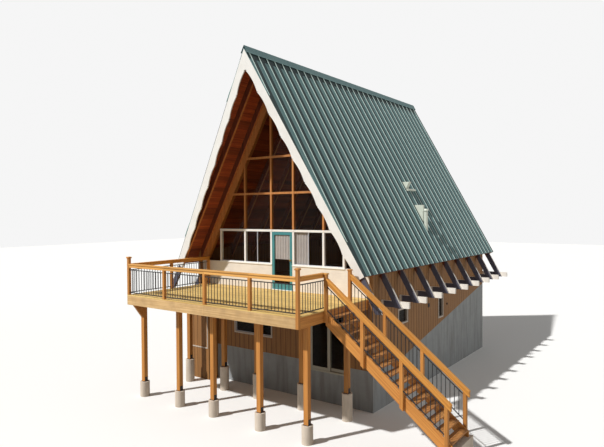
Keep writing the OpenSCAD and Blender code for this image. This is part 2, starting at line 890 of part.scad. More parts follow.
// The posts, and the knee brace in front of the left one
module support_posts() {
    brace_y = post_front_y - post_w / 2;
    color("peru") place() {
        for (x = post_x, row = pier_rows)
            box(x - post_w / 2, x + post_w / 2, row[0] - post_w / 2, row[0] + post_w / 2,
                floor_h + row[1], rim_z0);
        slab_x(post_x[0] - timber_w / 2, post_x[0] + timber_w / 2)
            polygon([
                [brace_y, rim_z0], [brace_y - brace_out, rim_z0],
                [brace_y - brace_out, rim_z0 - rim_t], [brace_y, rim_z0 - brace_down]
            ]);
    }
}

module piers() {
    color("lightgray") place() for (x = post_x, row = pier_rows)
        translate([x, row[0], 0]) cylinder(h = floor_h + row[1], d = pier_dia, $fn = 48);
}

// A railing post between two heights
module rail_post(x, y, z0, z1) {
    half = rail_post_w / 2;
    box(x - half, x + half, y - half, y + half, z0, z1);
}

// A square cap whose top is at a height
module post_cap(x, y, w, t, z1) {
    box(x - w / 2, x + w / 2, y - w / 2, y + w / 2, z1 - t, z1);
}

module rail_posts() {
    top = floor_h + rail_z - rail_t;
    under = top - under_rail_d;
    corner_top = floor_h + rail_z + corner_up;
    color("peru") place() {
        for (corner = [[left_rail_x, floor_h], [near_rail_x, rim_z0]]) {
            rail_post(corner[0], front_rail_y, corner[1], corner_top - post_cap_t);
            post_cap(corner[0], front_rail_y, post_cap_w, post_cap_t, corner_top);
        }
        for (x = rail_mid_x) rail_post(x, front_rail_y, floor_h, under);
        for (y = left_post_ys) rail_post(left_rail_x, y, floor_h, under);
        for (y = [stair_y0, stair_y1]) rail_post(stair_rail_x, y, rim_z0, top);
        post_cap(stair_rail_x, stair_y1, rail_w, rail_t, floor_h + rail_z);
    }
}

// A straight rail of the deck along X or Y: a flat board on a rail on edge
module deck_rail(x0, x1, y0, y1, side_x, side_y) {
    z1 = floor_h + rail_z;
    half = under_rail_w / 2;
    grow = rail_w / 2;
    box(x0 - side_x * grow, x1 + side_x * grow, y0 - side_y * grow, y1 + side_y * grow,
        z1 - rail_t, z1);
    box(x0 - side_x * half, x1 + side_x * half, y0 - side_y * half, y1 + side_y * half,
        z1 - rail_t - under_rail_d, z1 - rail_t);
}

module top_rails() {
    half = rail_post_w / 2;
    side_y0 = front_rail_y + half;
    z1 = floor_h + rail_z;
    color("peru") place() {
        deck_rail(left_rail_x + half, near_rail_x - half, front_rail_y, front_rail_y, 0, 1);
        deck_rail(left_rail_x, left_rail_x, side_y0, glass_wall_y, 1, 0);
        deck_rail(near_rail_x, near_rail_x, side_y0, stair_y0 + half, 1, 0);
        box(near_rail_x, stair_rail_x + rail_w / 2, stair_y0 - rail_w / 2, stair_y0 + rail_w / 2,
            z1 - rail_t, z1);
    }
}

// A panel of round balusters between two bars, along X from the origin
module baluster_panel(length) {
    z0 = floor_h + bar_gap;
    z1 = floor_h + rail_z - rail_t - under_rail_d - bar_gap - bar_h;
    n = ceil(length / baluster_pitch);
    for (z = [z0, z1]) translate([0, -bar_h / 2, z]) cube([length, bar_h, bar_h]);
    for (i = [1 : n - 1])
        translate([i * length / n, 0, z0 + bar_h / 2]) cylinder(h = z1 - z0, d = baluster_dia, $fn = 16);
}

module panel_along_x(x0, x1, y) {
    translate([x0 + rail_post_w / 2, y, 0]) baluster_panel(x1 - x0 - rail_post_w);
}

module panel_along_y(y0, y1, x) {
    translate([x, y0 + rail_post_w / 2, 0]) rotate([0, 0, 90]) baluster_panel(y1 - y0 - rail_post_w);
}

module deck_balusters() {
    color("black") place() {
        for (i = [0 : len(front_post_xs) - 2])
            panel_along_x(front_post_xs[i], front_post_xs[i + 1], front_rail_y);
        panel_along_y(front_rail_y, left_post_ys[0], left_rail_x);
        panel_along_y(left_post_ys[0], left_post_ys[1], left_rail_x);
        panel_along_y(front_rail_y, stair_y0 + rail_post_w, deck_x1 - bar_h / 2);
    }
}

// Height of a line that runs down the stair, a distance over the tread fronts
function stair_z(x, up) = floor_h + up - (x - deck_x1) * tan_stair;

// A sloping bar of the stair, with plumb ends, between two lines
module stair_bar(x0, x1, low, high) {
    polygon([
        [x0, stair_z(x0, low)], [x1, stair_z(x1, low)],
        [x1, stair_z(x1, high)], [x0, stair_z(x0, high)]
    ]);
}

module stair_stringers() {
    color("peru") place() for (y = [near_string_y, far_string_y])
        slab_y(y, y + stringer_t) intersection() {
            stair_bar(deck_x1, stair_end_x, string_low, -stringer_drop);
            translate([0, stair_ground]) square([far, far]);
        }
}

module stair_treads() {
    color("khaki") place() for (k = [1 : tread_n])
        box(max(deck_x1, deck_x1 + k * run - tread_d), deck_x1 + k * run,
            near_string_y + stringer_t, far_string_y, floor_h - k * rise - tread_t, floor_h - k * rise);
}

module stair_footing() {
    color("lightgray") place()
        box(footing_x1 - footing_w, footing_x1, stair_y0 - rail_post_w, stair_y1 + rail_post_w,
            0, stair_ground);
}

// The posts beside the stringers and the sloping handrails that they carry
module stair_handrails() {
    color("peru") place() for (y = [stair_y0, stair_y1]) {
        slab_y(y - rail_post_w / 2, y + rail_post_w / 2) for (x = stair_post_x)
            intersection() {
                stair_bar(x - rail_post_w / 2, x + rail_post_w / 2, string_low, handrail_h - rail_t);
                translate([0, stair_ground]) square([far, far]);
            }
        slab_y(y - under_rail_w / 2, y + under_rail_w / 2)
            stair_bar(deck_x1 + rail_post_w, handrail_x1,
                handrail_h - rail_drop - under_drop, handrail_h - rail_drop);
        slab_y(y - rail_w / 2, y + rail_w / 2)
            stair_bar(deck_x1 + rail_post_w, handrail_x1, handrail_h - rail_drop, handrail_h);
    }
}

// A sloping panel of balusters between two stair posts
module stair_panel(x0, x1) {
    n = ceil((x1 - x0) / baluster_pitch);
    low = bar_gap;
    high = handrail_h - rail_drop - under_drop - bar_gap - bar_h;
    for (z = [low, high])
        slab_y(-bar_h / 2, bar_h / 2) stair_bar(x0, x1, z, z + bar_h);
    for (i = [1 : n - 1]) {
        x = x0 + i * (x1 - x0) / n;
        translate([x, 0, stair_z(x, low + bar_h / 2)]) cylinder(h = high - low, d = baluster_dia, $fn = 16);
    }
}

module stair_balusters() {
    half = rail_post_w / 2;
    starts = concat([deck_x1 + rail_post_w], [for (x = stair_post_x) x + half]);
    ends = [for (x = stair_post_x) x - half];
    color("black") place() for (y = [stair_y0, stair_y1], i = [0 : len(ends) - 1])
        translate([0, y, 0]) stair_panel(starts[i], ends[i]);
}

// An upright slice with a level top that stands out of the right slope
module slope_wedge(top_z, out, low_z, y, depth) {
    top = floor_h + top_z;
    low = floor_h + low_z;
    slab_y(y, y + depth)
        polygon([
            [roof_x(top, -fit_gap), top], [roof_x(top, 0) + out, top], [roof_x(low, -fit_gap), low]
        ]);
}

// A hood over a long curb, an upright wedge and a capped flue on the right slope
module roof_vents() {
    flue_x = roof_x(floor_h + flue_z, 0);
    cap_z = floor_h + flue_z + flue_h;
    color("darkseagreen") place() difference() {
        union() {
            slope_wedge(hood_z, vent_out, hood_z - hood_drop, vent_y, vent_depth);
            on_slope() translate([(ridge_z - curb_z) / sin(roof_a), vent_y, fit_gap])
                cube([curb_w, curb_len, curb_h]);
            slope_wedge(wedge_z, wedge_out, wedge_z - wedge_out * tan(roof_a), vent_y, wedge_t);
            difference() {
                translate([flue_x, vent_y, floor_h + flue_z - flue_dia])
                    cylinder(h = flue_h + flue_dia, d = flue_dia, $fn = 32);
                on_slope() translate([-far / 2, 0, fit_gap - far]) cube([far, far, far]);
            }
            translate([flue_x, vent_y, cap_z]) cylinder(h = cap_h, d1 = cap_dia, d2 = flue_dia, $fn = 32);
        }
        seams(fit_gap);
    }
}

foundation_ends();
foundation_sides();
lower_floor();
lower_front_wall();
lower_front_header();
lower_front_corner();
right_wall();
left_wall();
rear_lower_wall();
rear_gable_wall();
closet();
floor_beams();
main_floor();
rafters_left();
rafters_right();
roof_boards_left();
roof_boards_right();
metal_roof_left();
metal_roof_right();
ridge_cap();
front_bargeboard_left();
front_bargeboard_right();
rear_bargeboard_left();
rear_bargeboard_right();
front_sill_walls();
window_row_frame();
gable_timbers();
front_glass();
door_hinges();
front_door();
front_door_glass();
sliding_door_frame();
sliding_door();
sliding_door_glass();
wall_window_frames();
wall_window_glass();
deck_boards();
deck_rim();
deck_joists();
deck_beams();
support_posts();
piers();
rail_posts();
top_rails();
deck_balusters();
stair_stringers();
stair_treads();
stair_footing();
stair_handrails();
stair_balusters();
roof_vents();
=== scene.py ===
import math
import random
import bmesh
import bpy
from mathutils import Matrix, Vector


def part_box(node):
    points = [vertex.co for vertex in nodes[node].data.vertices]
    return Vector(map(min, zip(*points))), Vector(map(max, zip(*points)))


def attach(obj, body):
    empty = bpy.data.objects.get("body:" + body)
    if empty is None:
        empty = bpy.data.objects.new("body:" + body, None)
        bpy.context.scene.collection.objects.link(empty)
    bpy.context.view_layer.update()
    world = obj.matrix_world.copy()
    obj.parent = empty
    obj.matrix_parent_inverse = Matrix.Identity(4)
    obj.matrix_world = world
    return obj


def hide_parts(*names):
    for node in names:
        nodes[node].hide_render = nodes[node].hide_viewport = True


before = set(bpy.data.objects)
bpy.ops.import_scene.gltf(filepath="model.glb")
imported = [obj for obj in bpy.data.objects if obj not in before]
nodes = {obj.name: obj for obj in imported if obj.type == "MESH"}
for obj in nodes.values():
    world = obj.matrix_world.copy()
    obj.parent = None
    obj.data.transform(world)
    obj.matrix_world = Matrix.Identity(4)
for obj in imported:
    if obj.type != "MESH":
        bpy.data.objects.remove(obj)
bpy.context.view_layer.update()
scene = bpy.context.scene
print("frame loaded:", len(nodes), "nodes")

# House frame: x from the centre plane, y from the eave corner, z from the main floor
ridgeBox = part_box("ridge_cap")
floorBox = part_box("main_floor")
prow = 0.640
origin = Vector((
    (ridgeBox[0][0] + ridgeBox[1][0]) / 2, ridgeBox[0][1] + prow, floorBox[1][2]
))
toPart = Matrix.Translation(origin)
random.seed(7)


# Camera

camera = {
    "place": (11.503, -13.435, 2.560),  # in the house frame
    "yaw": 36.09, "pitch": -1.13, "roll": -0.32,  # degrees; yaw turns left from +Y
    "focalPixels": 554.5, "imageWidth": 604, "sensor": 36.0, "clipEnd": 500.0,
}


def makeCamera(c):
    yaw, pitch, roll = (math.radians(c[k]) for k in ("yaw", "pitch", "roll"))
    ahead = Vector((-math.sin(yaw) * math.cos(pitch), math.cos(yaw) * math.cos(pitch), math.sin(pitch)))
    right = Vector((math.cos(yaw), math.sin(yaw), 0.0))
    up = right.cross(ahead)
    tiltRight = right * math.cos(roll) + up * math.sin(roll)
    tiltUp = up * math.cos(roll) - right * math.sin(roll)
    data = bpy.data.cameras.new("camera")
    data.sensor_fit = "HORIZONTAL"
    data.sensor_width = c["sensor"]
    data.lens = c["focalPixels"] / c["imageWidth"] * c["sensor"]
    data.clip_end = c["clipEnd"]
    obj = bpy.data.objects.new("camera", data)
    scene.collection.objects.link(obj)
    turn = Matrix((tiltRight, tiltUp, -ahead)).transposed().to_4x4()
    obj.matrix_world = Matrix.Translation(origin + Vector(c["place"])) @ turn
    scene.camera = obj


makeCamera(camera)
print("camera set")


# Materials

def toLinear(hexColour):
    parts = [int(hexColour[i:i + 2], 16) / 255 for i in (1, 3, 5)]
    return [p / 12.92 if p <= 0.04045 else ((p + 0.055) / 1.055) ** 2.4 for p in parts] + [1.0]


# Some inputs go by number: on Map Range 0 is the value, 1 and 2 the range it comes from and
# 3 and 4 the range it goes to, and on Mix 0 is the share, and 6 and 7 are the two colours
def addNode(tree, kind, settings=None, inputs=None):
    made = tree.nodes.new("ShaderNode" + kind)
    for key, value in (settings or {}).items():
        setattr(made, key, value)
    for key, value in (inputs or {}).items():
        if isinstance(value, bpy.types.NodeSocket):
            tree.links.new(value, made.inputs[key])
        else:
            made.inputs[key].default_value = value
    return made


colourMix = {"data_type": "RGBA"}
colourMultiply = {"data_type": "RGBA", "blend_type": "MULTIPLY"}
typicalIor = 1.5  # of varnish, paint and glass


def startMaterial(name, shaderValues):
    material = bpy.data.materials.new(name)
    material.use_nodes = True
    tree = material.node_tree
    shader = tree.nodes["Principled BSDF"]
    for key, value in shaderValues.items():
        shader.inputs[key].default_value = value
    place = addNode(tree, "TexCoord").outputs["Object"]
    return material, tree, shader, place


# How often a pattern repeats in a metre along each axis, from its sizes in millimetres
def perMetre(millimetres):
    return tuple(1000.0 / size for size in millimetres)


def darkToLight(tree, look, share):
    dark, light = toLinear(look["dark"]), toLinear(look["light"])
    return addNode(tree, "Mix", colourMix, {0: share, 6: dark, 7: light}).outputs[2]


# Darkens each board or panel by its own tone; on the roof the tone also carries painted shade and painted
# highlights
def shadeByTone(tree, base, spread):
    tone = addNode(tree, "Attribute", {"attribute_name": "tone"}).outputs["Fac"]
    shade = addNode(tree, "MapRange", {"clamp": False}, {0: tone, 3: 1.0, 4: 1.0 - spread}).outputs[0]
    return addNode(tree, "Mix", colourMultiply, {0: 1.0, 6: base, 7: shade}).outputs[2]


def finishMaterial(tree, shader, colour, height, lift, rough):
    tree.links.new(colour, shader.inputs["Base Color"])
    bump = addNode(tree, "Bump", {}, {"Strength": 0.6, "Distance": lift, "Height": height})
    tree.links.new(bump.outputs[0], shader.inputs["Normal"])
    roughness = addNode(tree, "MapRange", {}, {0: height, 3: rough[0], 4: rough[1]})
    tree.links.new(roughness.outputs[0], shader.inputs["Roughness"])


# Timber: grain runs along one axis and each board has its own tone. The real grain is
# 2 to 5 mm wide, which is too fine to show from here, so it is drawn about 30 mm wide.
timberLook = {
    "grainMm": {"x": (1500, 30, 30), "y": (30, 1500, 30), "z": (30, 30, 1500), "stair": (1500, 30, 30)},
    "stairTurn": (0.0, -math.radians(38.4), 0.0),  # lays the stair's sloping boards along X
    "blotchMm": 450, "wornShare": 0.5, "toneSpread": 0.22, "lift": 0.0012, "rough": (0.55, 0.75),
    "darkStripFrom": 0.006, "darkStripTo": 0.018, "darkStripShare": 0.7,  # metres from the middle of a groove
}


def makeTimber(name, ownLook):
    look = {**timberLook, **ownLook}
    material, tree, shader, place = startMaterial(name, {"IOR": typicalIor})
    turned = place
    if look["along"] == "stair":
        turned = addNode(tree, "Mapping", {}, {"Vector": place, "Rotation": look["stairTurn"]}).outputs[0]
    lengthwise = addNode(tree, "Mapping", {}, {
        "Vector": turned, "Scale": perMetre(look["grainMm"][look["along"]]),
    }).outputs[0]
    grain = addNode(tree, "TexNoise", {}, {
        "Vector": lengthwise, "Scale": 1.0, "Detail": 5.0, "Roughness": 0.62, "Distortion": 0.4,
    }).outputs[0]
    sharp = addNode(tree, "MapRange", {}, {0: grain, 1: 0.32, 2: 0.68}).outputs[0]
    base = darkToLight(tree, look, sharp)
    blotch = addNode(tree, "TexNoise", {}, {
        "Vector": place, "Scale": 1000.0 / look["blotchMm"], "Detail": 3.0,
    }).outputs[0]
    share = addNode(tree, "MapRange", {}, {0: blotch, 1: 0.38, 2: 0.72}).outputs[0]
    share = addNode(tree, "Math", {"operation": "MULTIPLY"}, {0: share, 1: look["wornShare"]}).outputs[0]
    base = addNode(tree, "Mix", colourMix, {0: share, 6: base, 7: toLinear(look["worn"])}).outputs[2]
    if "groove" in look:  # darker in and beside each groove
        at = addNode(tree, "Mapping", {}, {"Vector": place, "Location": -origin}).outputs[0]
        at = addNode(tree, "SeparateXYZ", {}, {0: at}).outputs[look["groove"]]
        near = addNode(tree, "Math", {"operation": "PINGPONG"}, {0: at, 1: look["pitch"] / 2}).outputs[0]
        darkStrip = addNode(tree, "MapRange", {}, {
            0: near, 1: look["darkStripFrom"], 2: look["darkStripTo"], 3: look["darkStripShare"], 4: 0.0,
        }).outputs[0]
        base = addNode(tree, "Mix", colourMix, {0: darkStrip, 6: base, 7: toLinear(look["darkStrip"])}).outputs[2]
    colour = shadeByTone(tree, base, look["toneSpread"])
    finishMaterial(tree, shader, colour, grain, look["lift"], look["rough"])
    return material


# Painted wood or board: flat colour broken by faint dirt and brush marks along one axis
paintLook = {
    "brushMm": {"x": (600, 18, 18), "y": (18, 600, 18), "z": (18, 18, 600)},
    "dirtMm": 588, "dirtShare": 0.35, "lift": 0.0005, "rough": (0.4, 0.55),
}


def makePaint(name, ownLook):
    look = {**paintLook, **ownLook}
    material, tree, shader, place = startMaterial(name, {"IOR": typicalIor})
    lengthwise = addNode(tree, "Mapping", {}, {
        "Vector": place, "Scale": perMetre(look["brushMm"][look["along"]]),
    }).outputs[0]
    brush = addNode(tree, "TexNoise", {}, {"Vector": lengthwise, "Scale": 1.0, "Detail": 4.0}).outputs[0]
    base = darkToLight(tree, look, brush)
    dirt = addNode(tree, "TexNoise", {}, {
        "Vector": place, "Scale": 1000.0 / look["dirtMm"], "Detail": 6.0, "Roughness": 0.65,
    }).outputs[0]
    share = addNode(tree, "MapRange", {}, {0: dirt, 1: 0.42, 2: 0.75, 4: look["dirtShare"]}).outputs[0]
    colour = addNode(tree, "Mix", colourMix, {0: share, 6: base, 7: toLinear(look["dirt"])}).outputs[2]
    finishMaterial(tree, shader, colour, brush, look["lift"], look["rough"])
    return material


# Cast concrete: cloudy grey with pits and stains that run down
concreteLook = {
    "cloudMm": 385, "runMm": (160, 160, 1400), "pitMm": 8.3, "stainShare": 0.5,
    "lift": 0.002, "rough": (0.8, 0.95),
}


def makeConcrete(name, ownLook):
    look = {**concreteLook, **ownLook}
    material, tree, shader, place = startMaterial(name, {"IOR": typicalIor})
    cloud = addNode(tree, "TexNoise", {}, {
        "Vector": place, "Scale": 1000.0 / look["cloudMm"], "Detail": 8.0, "Roughness": 0.7,
    }).outputs[0]
    base = darkToLight(tree, look, cloud)
    down = addNode(tree, "Mapping", {}, {"Vector": place, "Scale": perMetre(look["runMm"])}).outputs[0]
    runs = addNode(tree, "TexNoise", {}, {"Vector": down, "Scale": 1.0, "Detail": 4.0}).outputs[0]
    share = addNode(tree, "MapRange", {}, {0: runs, 1: 0.45, 2: 0.7, 4: look["stainShare"]}).outputs[0]
    colour = addNode(tree, "Mix", colourMix, {0: share, 6: base, 7: toLinear(look["stain"])}).outputs[2]
    pits = addNode(tree, "TexNoise", {}, {
        "Vector": place, "Scale": 1000.0 / look["pitMm"], "Detail": 3.0,
    }).outputs[0]
    finishMaterial(tree, shader, colour, pits, look["lift"], look["rough"])
    return material


# Coated steel: satin paint, faint streaks down the slope and a tone for each panel
steelLook = {
    "streakMm": (2600, 90, 2600), "dustMm": 1111, "dustShare": 0.4, "toneSpread": 0.1,
    "gloss": 0.5, "lift": 0.0008, "rough": (0.34, 0.5),
}


def makeCoatedSteel(name, ownLook):
    look = {**steelLook, **ownLook}
    material, tree, shader, place = startMaterial(name, {
        "IOR": typicalIor, "Specular IOR Level": look["gloss"],
    })
    along = addNode(tree, "Mapping", {}, {"Vector": place, "Scale": perMetre(look["streakMm"])}).outputs[0]
    streak = addNode(tree, "TexNoise", {}, {
        "Vector": along, "Scale": 1.0, "Detail": 4.0, "Roughness": 0.6,
    }).outputs[0]
    base = darkToLight(tree, look, streak)
    dust = addNode(tree, "TexNoise", {}, {
        "Vector": place, "Scale": 1000.0 / look["dustMm"], "Detail": 7.0, "Roughness": 0.7,
    }).outputs[0]
    share = addNode(tree, "MapRange", {}, {0: dust, 1: 0.45, 2: 0.75, 4: look["dustShare"]}).outputs[0]
    base = addNode(tree, "Mix", colourMix, {0: share, 6: base, 7: toLinear(look["dust"])}).outputs[2]
    colour = shadeByTone(tree, base, look["toneSpread"])
    finishMaterial(tree, shader, colour, streak, look["lift"], look["rough"])
    return material


# Float glass in a frame: dark clear sheet with a hard shine and a slow ripple
def makeGlass(name, look):
    material, tree, shader, place = startMaterial(name, {
        "IOR": typicalIor, "Alpha": look["cover"], "Specular IOR Level": look["gloss"],
    })
    ripple = addNode(tree, "TexNoise", {}, {
        "Vector": place, "Scale": 1000.0 / look["rippleMm"], "Detail": 1.0,
    }).outputs[0]
    colour = darkToLight(tree, look, ripple)
    finishMaterial(tree, shader, colour, ripple, 0.001, (0.02, 0.06))
    return material


cedar = {
    axis: makeTimber("cedar_" + axis, {
        "light": "#DE9C4C", "dark": "#AB6828", "worn": "#C98640", "along": axis, "toneSpread": 0.28,
    }) for axis in ("x", "y", "z", "stair")
}
rimWood = makeTimber("weathered_cedar", {
    "light": "#F0CB92", "dark": "#C4985F", "worn": "#B08D62", "along": "x",
    "blotchMm": 260, "toneSpread": 0.15,
})
railWood = {
    axis: makeTimber("rail_cedar_" + axis, {
        "light": light, "dark": dark, "worn": worn, "along": axis, "toneSpread": 0.2,
    }) for axis, light, dark, worn in (
        ("x", "#F8BE68", "#CC8C42", "#E2A558"),
        ("y", "#F0AB4C", "#BB7528", "#D6913E"),
        ("stair", "#F0AB4C", "#BB7528", "#D6913E"),
    )
}
deckWood = makeTimber("deck_pine_x", {
    "light": "#F3D588", "dark": "#CFA253", "worn": "#DDB769", "along": "x", "toneSpread": 0.24,
})
# Cedar, darker than the deck boards as painted shade
shadedTreadWood = makeTimber("tread_cedar_painted_shade", {
    "light": "#CB9150", "dark": "#8C5726", "worn": "#A76C34", "along": "y", "toneSpread": 0.2,
})
soffitWood = makeTimber("stained_board", {
    "light": "#CC6831", "dark": "#7C2A11", "worn": "#9C3F1C", "along": "y", "toneSpread": 0.5,
})
firWood = makeTimber("oiled_fir", {
    "light": "#D08E4C", "dark": "#9C5E2A", "worn": "#B87438", "along": "z", "toneSpread": 0.1,
})
floorWood = makeTimber("varnished_board", {
    "light": "#B98450", "dark": "#8A5A30", "worn": "#A06C3A", "along": "x", "rough": (0.25, 0.4),
})
groovePitch = 0.2032  # eight inches
sidingWood = {
    axis: makeTimber("grooved_plywood_" + axis, {
        "light": "#A67540", "dark": "#785128", "worn": "#8D6235", "along": "z", "blotchMm": 900,
        "toneSpread": 0.1, "groove": "xy".index(axis), "pitch": groovePitch, "darkStrip": "#4C321A",
    }) for axis in ("x", "y")
}
whitePaint = makePaint("white_gloss_paint", {
    "light": "#F6F4EF", "dark": "#EAE7E0", "dirt": "#D3CCC0", "along": "z",
})
trimPaint = makePaint("beige_trim_paint", {
    "light": "#C9BCAE", "dark": "#B6A899", "dirt": "#978774", "along": "z",
})
creamPaint, tailPaint = (makePaint(name, {
    "light": "#EFE8DC", "dark": "#DFD6C9", "dirt": "#BDB0A6", "along": "x",
}) for name in ("cream_paint", "tail_paint"))
# Teal paint, darkened a little as painted shade
tealPaint = makePaint("teal_door_paint", {
    "light": "#4A9295", "dark": "#3A7C81", "dirt": "#30696E", "along": "z", "rough": (0.25, 0.35),
})
doorFramePaint = makePaint("beige_coated_aluminium", {
    "light": "#B7B3A2", "dark": "#A7A292", "dirt": "#8E8877", "along": "z",
})
sashMetal = makePaint("grey_anodised_aluminium", {
    "light": "#C9CBD0", "dark": "#B4B7BE", "dirt": "#9A9CA2", "along": "z", "rough": (0.35, 0.45),
})
concrete = makeConcrete("cast_concrete", {"light": "#A9ABAA", "dark": "#888B8D", "stain": "#73716A"})
# Paler and warmer than the cast concrete, as painted sunlight
litPierConcrete = makeConcrete("pier_concrete_painted_sunlight", {"light": "#E6D8C7", "dark": "#C4B5A3", "stain": "#A29381"})
roofSteel = makeCoatedSteel("green_coated_steel", {
    "light": "#7A9898", "dark": "#5F7D7F", "dust": "#839D9B",
    "toneSpread": 0.5, "gloss": 0.15, "rough": (0.5, 0.62),
})
# Pale steel for the seam heads, a painted highlight
highlightSeamSteel = makeCoatedSteel("seam_steel_painted_highlight", {
    "light": "#DDF0E8", "dark": "#C6DCD4", "dust": "#D4E2DA", "gloss": 0.2, "rough": (0.45, 0.6),
})
ventSteel = makeCoatedSteel("pale_coated_steel", {"light": "#E4E9DB", "dark": "#CCD3C3", "dust": "#ADAF9F"})
blackSteel = makeCoatedSteel("black_powder_coat", {
    "light": "#232327", "dark": "#18181B", "dust": "#302F2C",
    "streakMm": (400, 400, 400), "rough": (0.4, 0.55),
})
paneGlass = makeGlass("float_glass", {
    "light": "#33251A", "dark": "#1E1611", "cover": 0.12, "gloss": 0.35, "rippleMm": 714,
})
# Dark half-opaque glass, as painted shade of the unlit room behind
shadedPaneGlass = makeGlass("dark_glass_painted_shade", {
    "light": "#241E1A", "dark": "#15110E", "cover": 0.55, "gloss": 0.12, "rippleMm": 714,
})
print("materials made")


# Mesh helpers

def newMesh():
    bm = bmesh.new()
    bm.verts.layers.float.new("tone")
    return bm


# Adds a box from its two corners, turned by a matrix. A tone of 0 is plain and 1 is its material's
# darkest, and a few parts of the roof go past both, as painted shade and painted highlights. Without a tone
# it gets one at random.
def addBoard(bm, low, high, turn=None, tone=None):
    low, high = Vector(low), Vector(high)
    size = high - low
    matrix = Matrix.Translation((low + high) / 2) @ Matrix.Diagonal((*size, 1.0))
    made = bmesh.ops.create_cube(bm, size=1.0, matrix=(turn or Matrix.Identity(4)) @ matrix)
    layer = bm.verts.layers.float["tone"]
    tone = random.random() if tone is None else tone
    for vert in made["verts"]:
        vert[layer] = tone
    return made["verts"]


def roundEdges(bm, width, segments=2, geom=None):
    bmesh.ops.bevel(
        bm, geom=geom or list(bm.edges), offset=width, offset_type="OFFSET", segments=segments,
        profile=0.5, affect="EDGES", clamp_overlap=True, material=-1,
    )


# Cuts away what lies on the side that the normal points to, and closes the cut
def cutAway(bm, point, normal):
    cut = bmesh.ops.bisect_plane(
        bm, geom=list(bm.verts) + list(bm.edges) + list(bm.faces), dist=1e-5,
        plane_co=Vector(point), plane_no=Vector(normal), clear_outer=True,
    )["geom_cut"]
    edges = [e for e in cut if isinstance(e, bmesh.types.BMEdge)]
    bmesh.ops.holes_fill(bm, edges=edges, sides=0)


def finishPiece(name, bm, material, replaced=(), body="house"):
    bmesh.ops.transform(bm, matrix=toPart, verts=bm.verts)
    bmesh.ops.recalc_face_normals(bm, faces=bm.faces)
    mesh = bpy.data.meshes.new(name)
    bm.to_mesh(mesh)
    bm.free()
    piece = bpy.data.objects.new(name, mesh)
    scene.collection.objects.link(piece)
    mesh.materials.append(material)
    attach(piece, body)
    if replaced:
        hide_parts(*replaced)
    return piece


def mirrorAcross(bm, verts):
    bmesh.ops.scale(bm, vec=(-1.0, 1.0, 1.0), verts=verts)


# A merged copy of a CAD node, so that its edges can be rounded
def copyNode(nodeName, dissolve=True):
    bm = newMesh()
    bm.from_mesh(nodes[nodeName].data)
    bmesh.ops.remove_doubles(bm, verts=bm.verts, dist=0.0001)
    if dissolve:
        bmesh.ops.dissolve_limit(bm, angle_limit=math.radians(1.0), verts=bm.verts, edges=bm.edges)
    bmesh.ops.translate(bm, vec=-origin, verts=bm.verts)
    return bm


# Gives each loose solid of a mesh its own tone
def toneSolids(bm):
    layer = bm.verts.layers.float["tone"]
    left = set(bm.verts)
    for first in bm.verts:
        if first not in left:
            continue
        left.discard(first)
        solid = [first]
        tone = random.random()
        while solid:
            vert = solid.pop()
            vert[layer] = tone
            for edge in vert.link_edges:
                other = edge.other_vert(vert)
                if other in left:
                    left.discard(other)
                    solid.append(other)


def dress(nodeName, material):
    data = nodes[nodeName].data
    data.materials.clear()
    data.materials.append(material)


# Roof

roof = {
    "apexZ": 7.630, "eaveZ": 0.765, "eaveX": 3.850, "length": 11.550, "prow": prow,
    "metal": 0.015, "boards": 0.038, "seamPitch": 0.4064, "firstSeam": -0.520,
    "seamBody": (0.020, 0.024), "seamHead": (0.026, 0.011),  # width and height of each
    "overrun": 0.050, "lap": 0.001, "bodyTone": 0.6, "panelTone": 0.25,
    # painted shadow: a dark strip on the lee of each seam, and a dark band just under the edge of the ridge
    # cap
    "seamShadowWidth": 0.235, "seamShadowTone": 1.6, "capShadowDepth": 0.200, "capShadowInset": 0.010,
    "capShadowZ": (-0.002, 0.004), "capShadowTone": 1.7,
    "boardPitch": 0.140, "boardGap": 0.003, "leastBoard": 0.020, "boardClear": 0.0005, "bargeT": 0.038,
}
ridgeCap = {
    "width": 0.190, "rise": 0.041, "hem": 0.020, "sheetT": 0.005, "hemT": 0.007,
    "skirtT": 0.004, "skirtZ": (0.020, 0.035), "overrun": 0.100,
    # the hem is lighter as a painted highlight, and the skirt darker as painted shade
    "sheetTone": 0.3, "hemHighlightTone": -0.6, "skirtShadeTone": 0.6,
}
roofAngle = math.atan((roof["apexZ"] - roof["eaveZ"]) / roof["eaveX"])
slopeLength = roof["eaveX"] / math.cos(roofAngle)
prowAngle = math.atan(roof["prow"] / slopeLength)
# The right slope: x runs down from the ridge, z stands out from the metal
slope = Matrix.Translation((0.0, 0.0, roof["apexZ"])) @ Matrix.Rotation(roofAngle, 4, "Y")
prowNormal = Vector((math.sin(prowAngle), -math.cos(prowAngle), 0.0))


def cutProw(bm, back):
    point = Vector((0.0, -roof["prow"], 0.0)) - prowNormal * back
    cutAway(bm, point, prowNormal)


def onSlope(bm, left):
    bmesh.ops.transform(bm, matrix=slope, verts=bm.verts)
    cutAway(bm, (0.0, 0.0, 0.0), (-1.0, 0.0, 0.0))
    if left:
        mirrorAcross(bm, bm.verts)


def seamPlaces():
    count = int((roof["length"] - roof["firstSeam"]) / roof["seamPitch"])
    return [roof["firstSeam"] + i * roof["seamPitch"] for i in range(count + 1)]


